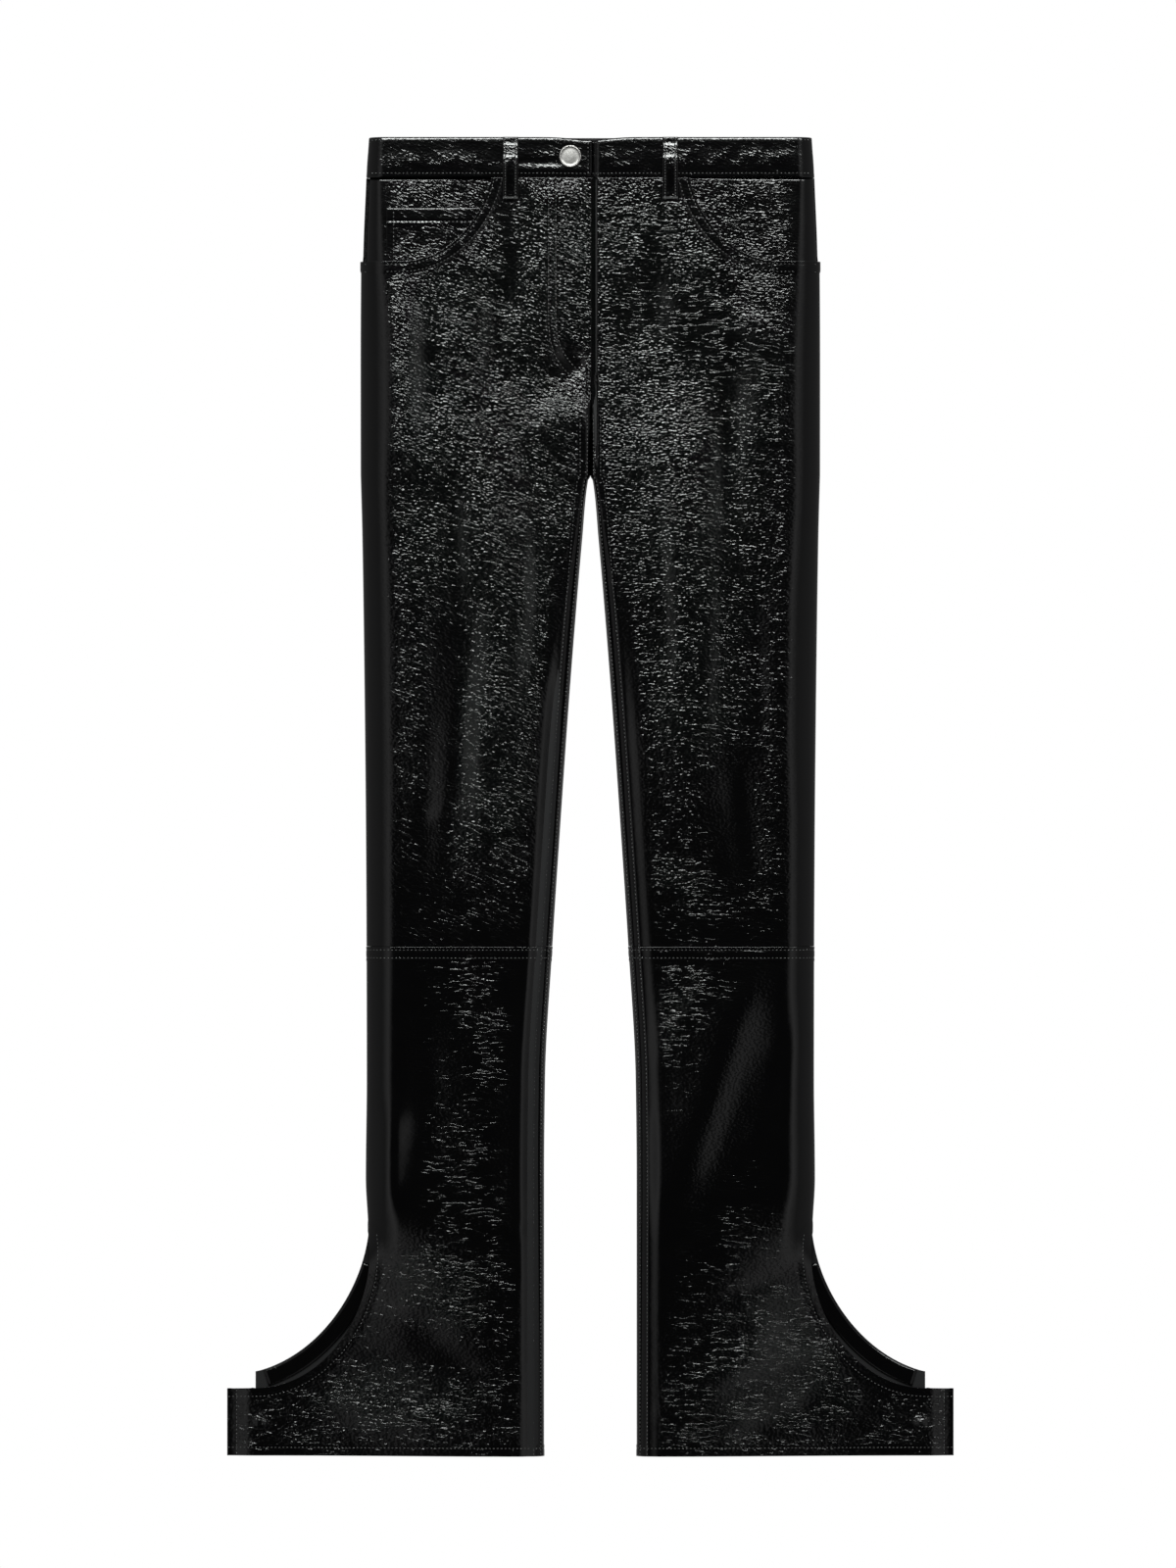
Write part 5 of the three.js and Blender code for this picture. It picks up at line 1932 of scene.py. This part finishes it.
    def sew(self) -> None:
        """Lays the waistband's stitches."""
        rows = []
        for side, start in ((RIGHT, 1.6), (LEFT, 2.5)):
            reach = np.linspace(start, 184, 120)
            for level in BAND_ROWS:
                rows.append(self.band_point(side, reach, np.full(120, level / BAND_HEIGHT)))
        down = np.linspace(0.1, 0.88, 20)
        rows.append(self.band_point(RIGHT, np.full(20, 1.9), down))
        ride(self.stitching.sew("stitching_waistband", rows, self.materials.thread))
        turn = np.linspace(-2.3, 2.3, 40)
        reach = -self.button_x - 9.0 - 4.5 * np.cos(turn * 0.68)
        down = (self.button_drop + 1.9 * np.sin(turn * 0.68)) / BAND_HEIGHT
        points, normals = self.band_point(RIGHT, reach, down)
        thread = self.materials.thread
        eyelet = self.stitching.sew("buttonhole", [(points, normals)], thread, pitch=0.5, length=0.9)
        ride(eyelet)

    def loop_seat(self, side: int, reach: Array, drop: Array) -> Array:
        """Height of what a front belt loop lies on.

        Args:
            side: RIGHT or LEFT.
            reach: distances from the centre line.
            drop: distances below the waist.

        Returns:
            The height at each place.
        """
        on_band = band_height(side, reach, np.maximum(drop, 0))
        on_front = front_height(side, reach, drop, creased=False)
        return mix(on_band, on_front, smooth(drop, BAND_HEIGHT + 2, BAND_HEIGHT + 10))

    def loop_top(self, side: int, reach: Array, down: Array) -> Array:
        """Height of a front belt loop's outside.

        Args:
            side: RIGHT or LEFT.
            reach: distances from the centre line.
            down: shares down from the loop's top.

        Returns:
            The height at each place.
        """
        arch = self.loop_bulge * smooth(down, 0.06, 0.36) * (1 - smooth(down, 0.42, 0.94))
        seat = self.loop_seat(side, reach, self.loop_end * down)
        return seat + SEAM + self.loop_thick + arch

    def front_loop(self, side: int) -> None:
        """Makes one front belt loop with its stitches.

        Args:
            side: RIGHT or LEFT.
        """
        label = SIDE_NAMES[side]
        across = edge_steps(self.loop_width, 0.8, 3.0, 0.7)[None, :]
        down = (edge_steps(self.loop_end, 1.0, 4.0, 0.8) / self.loop_end)[:, None]
        reach = self.loop_reach - self.loop_width / 2 + across + 0 * down
        drop = self.loop_end * down + 0 * across
        points = to_points(side, reach, drop, self.loop_top(side, reach, down + 0 * across))
        normal = grid_normals(points, 1)
        groove = sum(np.exp(-(((across - c) / 0.5) ** 2)) for c in (2.2, self.loop_width - 2.2))
        rim = soft_rim(*distances(points), size=1.3, depth=0.6, fold_depth=0.8) + 0.3 * groove
        node = f"belt_loop_front_{label}"
        finishes = (self.materials.band, self.materials.inside)
        piece = shell(node, points, normal, -rim, self.loop_thick, finishes)
        lay_panel(piece, node)

        def row(reach_at: Array, down_at: Array) -> tuple[Array, Array]:
            """Points and normals over the loop.

            Args:
                reach_at: distances from the centre line.
                down_at: shares down from the loop's top.

            Returns:
                The points and their normals.
            """
            height = self.loop_top(side, reach_at, down_at) + 0.2
            made = to_points(side, reach_at, self.loop_end * down_at, height)
            up = np.zeros_like(made)
            up[:, 2] = 1.0
            return made, up

        edge = self.loop_width / 2 - 2.2
        rows = [row(np.full(30, self.loop_reach + s * edge), np.linspace(0.04, 0.93, 30)) for s in (-1, 1)]
        ride(self.stitching.sew(f"stitching_loop_{label}", rows, self.materials.thread, 2.4, 1.8))
        wide = np.linspace(-self.loop_width / 2 + 0.8, self.loop_width / 2 - 0.8, 12) + self.loop_reach
        bars = [row(wide, np.full(12, level)) for level in (0.945, 0.96)]
        ride(self.stitching.sew(f"bartack_loop_{label}", bars, self.materials.thread, 0.6, 1.5))

    def back_loop(self, node: str) -> None:
        """Makes one back belt loop, flat under the waist.

        Args:
            node: the CAD node that it stands for.
        """
        low, high = (np.array(corner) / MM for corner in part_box(node))
        across = edge_steps(self.loop_width, 1.5, 3.0, 1.0)[None, :] + low[0]
        down = edge_steps(high[1] - low[1], 2.5, 4.0, 1.0)[:, None]
        points = np.stack(np.broadcast_arrays(across, high[1] - down, low[2]), axis=-1) * MM
        normal = np.zeros_like(points)
        normal[..., 2] = -1.0
        rim = soft_rim(*distances(points), size=1.2, depth=0.6, fold_depth=0.6)
        finishes = (self.materials.band, self.materials.inside)
        lay_panel(shell(node, points, normal, -rim, self.loop_thick, finishes), node)

    def button(self) -> None:
        """Makes the button with a rolled rim and a sunk plain face."""
        low, high = (np.array(corner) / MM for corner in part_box("button"))
        top, radius = high[2], self.button_radius
        head = top - 2.6
        profile = [
            (0.0, low[2]), (5.0, low[2]), (5.0, low[2] + 1), (2.6, low[2] + 1), (2.6, head),
            (radius - 0.7, head), (radius - 0.2, head + 0.35), (radius, head + 0.9), (radius, head + 1.6),
            (radius - 0.3, top - 0.3), (radius - 0.8, top), (radius - 1.3, top - 0.1),
            (radius - 1.8, top - 0.5), (radius - 2.4, top - 0.62), (radius - 4.0, top - 0.5), (0.0, top - 0.35),
        ]
        shell = bmesh.new()
        ring = [shell.verts.new((r * MM, 0, z * MM)) for r, z in profile]
        edges = [shell.edges.new(pair) for pair in zip(ring[:-1], ring[1:])]
        bmesh.ops.spin(shell, geom=ring + edges, axis=(0, 0, 1), cent=(0, 0, 0), steps=64, angle=2 * np.pi)
        bmesh.ops.remove_doubles(shell, verts=shell.verts[:], dist=1e-6)
        bmesh.ops.recalc_face_normals(shell, faces=shell.faces[:])
        place = Vector((self.button_x * MM, (LENGTH / 2 - self.button_drop) * MM, 0))
        bmesh.ops.translate(shell, verts=shell.verts[:], vec=place)
        mesh = bpy.data.meshes.new("button_head")
        shell.to_mesh(mesh)
        shell.free()
        mesh.polygons.foreach_set("use_smooth", [True] * len(mesh.polygons))
        mesh.materials.append(PaleMetal((self.button_x, LENGTH / 2 - self.button_drop)).material())
        piece = bpy.data.objects.new("button_head", mesh)
        bpy.context.scene.collection.objects.link(piece)
        ride(piece, "button")

    def build(self) -> None:
        """Makes the waistband, its loops, its button and its stitches."""
        self.front(RIGHT, -1.0)
        self.front(LEFT, -BAND_UNDERLAP)
        self.back()
        for side in (RIGHT, LEFT):
            self.front_loop(side)
        for node in ("belt_loop_back_right", "belt_loop_back_centre", "belt_loop_back_left"):
            self.back_loop(node)
        self.button()
        self.sew()


@dataclass
class Ankle:
    """The facing along one cut-out and the covered stud on the tab."""

    side: int
    materials: Materials
    width: float = 14.0
    inset: float = 0.5
    thick: float = 1.0
    stud: tuple[float, float] = (280.0, 1086.0)
    stud_radius: float = 7.5
    stud_height: float = 1.2

    def build(self) -> None:
        """Makes the facing and the stud."""
        label = SIDE_NAMES[self.side]
        edge = Path.curve(BACK_CUT)
        along = np.linspace(0.17, 0.985, 60)
        reach, drop = edge.at(along)
        ahead_reach, ahead_drop = edge.at(along + 0.004)
        run = np.stack([ahead_reach - reach, ahead_drop - drop])
        run /= np.hypot(*run)
        inset = self.inset + np.linspace(0, self.width, 9)[None, :]
        grid_reach = reach[:, None] - run[1][:, None] * inset
        grid_drop = drop[:, None] + run[0][:, None] * inset
        points = to_points(self.side, grid_reach, grid_drop, back_height(grid_reach, grid_drop))
        normal = grid_normals(points, 1)
        rim = soft_rim(*distances(points), 1.0, 0.3, 0.3)
        outside = points + normal * ((LEATHER + 2 * SEAM + self.thick - rim) * MM)[..., None]
        inside = points + normal * (LEATHER + 2 * SEAM) * MM
        plain = (self.materials.leather(self.side), self.materials.inside)
        piece = wall(f"cutout_facing_{label}", outside, inside, plain, (np.array(0.12), np.array(0.1)))
        ride(piece, f"cutout_facing_{label}")
        self.build_stud(label)

    def build_stud(self, label: str) -> None:
        """Makes the covered stud as a low dome in the tab's leather.

        Args:
            label: right or left.
        """
        reach, drop = self.stud
        seat = float(front_height(self.side, np.array(reach), np.array(drop), False)) + SEAM
        rings = np.concatenate([np.linspace(0, 0.85, 7), [0.93, 1.0]])
        angles = np.linspace(0, 2 * np.pi, 33)[:-1]
        heights = self.stud_height * 0.5 * (1 + np.cos(np.pi * rings))
        vertices = [(self.side * reach, LENGTH / 2 - drop, seat + self.stud_height)]
        for share, height in list(zip(rings, heights))[1:]:
            for angle in angles:
                x = self.side * reach + self.stud_radius * share * np.cos(angle)
                y = LENGTH / 2 - drop + self.stud_radius * share * np.sin(angle)
                vertices.append((x, y, seat + height))
        vertices.append((self.side * reach, LENGTH / 2 - drop, seat - 0.1))
        count, last = len(angles), len(vertices) - 1
        faces: list[tuple[int, ...]] = []
        for i in range(count):
            after = (i + 1) % count
            faces.append((0, 1 + i, 1 + after))
            for ring in range(len(rings) - 2):
                base = 1 + ring * count
                faces.append((base + i, base + count + i, base + count + after, base + after))
            base = 1 + (len(rings) - 2) * count
            faces.append((base + after, base + i, last))
        node = f"tab_stud_{label}"
        piece = mesh_object(node, np.array(vertices) * MM, faces, [self.materials.leather(self.side)])
        for key, value in (("grain", 0.8), ("crease", 0.6)):
            layer = piece.data.attributes.new(key, "FLOAT", "POINT")
            layer.data.foreach_set("value", [value] * len(piece.data.vertices))
        face_outward(piece)
        ride(piece, node)


@dataclass
class Studio:
    """Pale floor, soft lights and a camera straight above."""

    distance: float = 8.0
    frame_height: float = 1.328
    centre: tuple[float, float] = (-0.002, 0.0109)
    floor_reach: float = 6.0
    floor_level: float = -0.0006
    greys: tuple[tuple[float, float], ...] = ((0.21, 0.012), (0.37, 0.3), (0.62, 0.1), (1.0, 0.14))

    def area(
        self,
        name: str,
        place: tuple[float, float, float],
        size: tuple[float, float],
        power: float,
    ) -> None:
        """Adds a soft light aimed at the trousers.

        Args:
            name: the light's name.
            place: where it stands, in metres.
            size: its width and height in metres.
            power: its power in watts.
        """
        light = bpy.data.lights.new(name, "AREA")
        light.shape = "RECTANGLE"
        light.size, light.size_y = size
        light.energy = power
        light.color = (0.965, 1.0, 0.98)
        made = bpy.data.objects.new(name, light)
        made.location = place
        aim = Vector((0, 0.1 if place[1] > 0 else -0.3, 0)) - Vector(place)
        made.rotation_euler = aim.to_track_quat("-Z", "Y").to_euler()
        bpy.context.scene.collection.objects.link(made)

    def world(self) -> None:
        """Dark surroundings with a paler ring towards each side."""
        world = bpy.data.worlds.new("studio")
        bpy.context.scene.world = world
        graph = Graph(world)
        place = graph.node("ShaderNodeTexCoord", {}, {}, "Generated")
        sideways = abs(graph.node("ShaderNodeSeparateXYZ", {}, {0: place}))
        shade = graph.node("ShaderNodeValToRGB", {"stops": self.greys}, {0: sideways})
        back = graph.node("ShaderNodeBackground", {}, {0: shade})
        graph.node("ShaderNodeOutputWorld", {}, {0: back})

    def build(self) -> None:
        """Makes the floor, the lights and the camera."""
        size, level = self.floor_reach, self.floor_level
        corners = [(x * size, y * size, level) for x, y in ((-1, -1), (1, -1), (1, 1), (-1, 1))]
        graph = Graph(bpy.data.materials.new("pale_floor"))
        material = graph.finish({
            "Base Color": (0.0, 0.0, 0.0, 1.0),
            "Roughness": 1.0,
            "Specular IOR Level": 0.0,
            "Emission Color": (1.0, 1.0, 1.0, 1.0),
            "Emission Strength": 1.0,
        })
        floor = mesh_object("floor", np.array(corners), [(0, 1, 2, 3)], [material])
        floor.visible_glossy = False
        floor.visible_diffuse = False
        floor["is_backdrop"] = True
        self.world()
        self.area("key", place=(-0.3, 2.5, 3.7), size=(2.4, 0.6), power=98)
        self.area("left_key", place=(2.0, 2.4, 3.5), size=(1.2, 0.6), power=26)
        camera = bpy.data.cameras.new("camera")
        camera.sensor_fit = "VERTICAL"
        camera.sensor_height = 36.0
        camera.lens = 36.0 * self.distance / self.frame_height
        camera.clip_end = 40.0
        made = bpy.data.objects.new("camera", camera)
        made.location = (self.centre[0], self.centre[1], self.distance)
        bpy.context.scene.collection.objects.link(made)
        bpy.context.scene.camera = made
        bpy.context.scene.view_settings.view_transform = "Standard"


def main(frame: dict[str, Any], cad_box: Any) -> None:
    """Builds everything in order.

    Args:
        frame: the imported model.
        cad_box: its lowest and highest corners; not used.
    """
    logging.basicConfig(level=logging.INFO, format="%(message)s")
    Studio().build()
    materials = Materials(
        right=PatentLeather("leather_right", turn=0.4).material(),
        left=PatentLeather("leather_left", turn=0.08).material(),
        shin=PatentLeather("leather_shin", turn=0.06).material(),
        band=PatentLeather("leather_band", turn=0.35, fine=0.5, long=0.3).material(),
        inside=WrongSide().material(),
        thread=Thread().material(),
    )
    stitching = Stitching()
    for side in (RIGHT, LEFT):
        Leg(side, materials, stitching).build()
        Pocket(side, materials, stitching).build()
        Ankle(side, materials).build()
    Waist(materials, stitching).build()
    tape = ZipTape().material()
    for slot in frame["nodes"]["zip"].material_slots:
        slot.material = tape


if __name__ == "__main__":
    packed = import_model()
    main(packed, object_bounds())
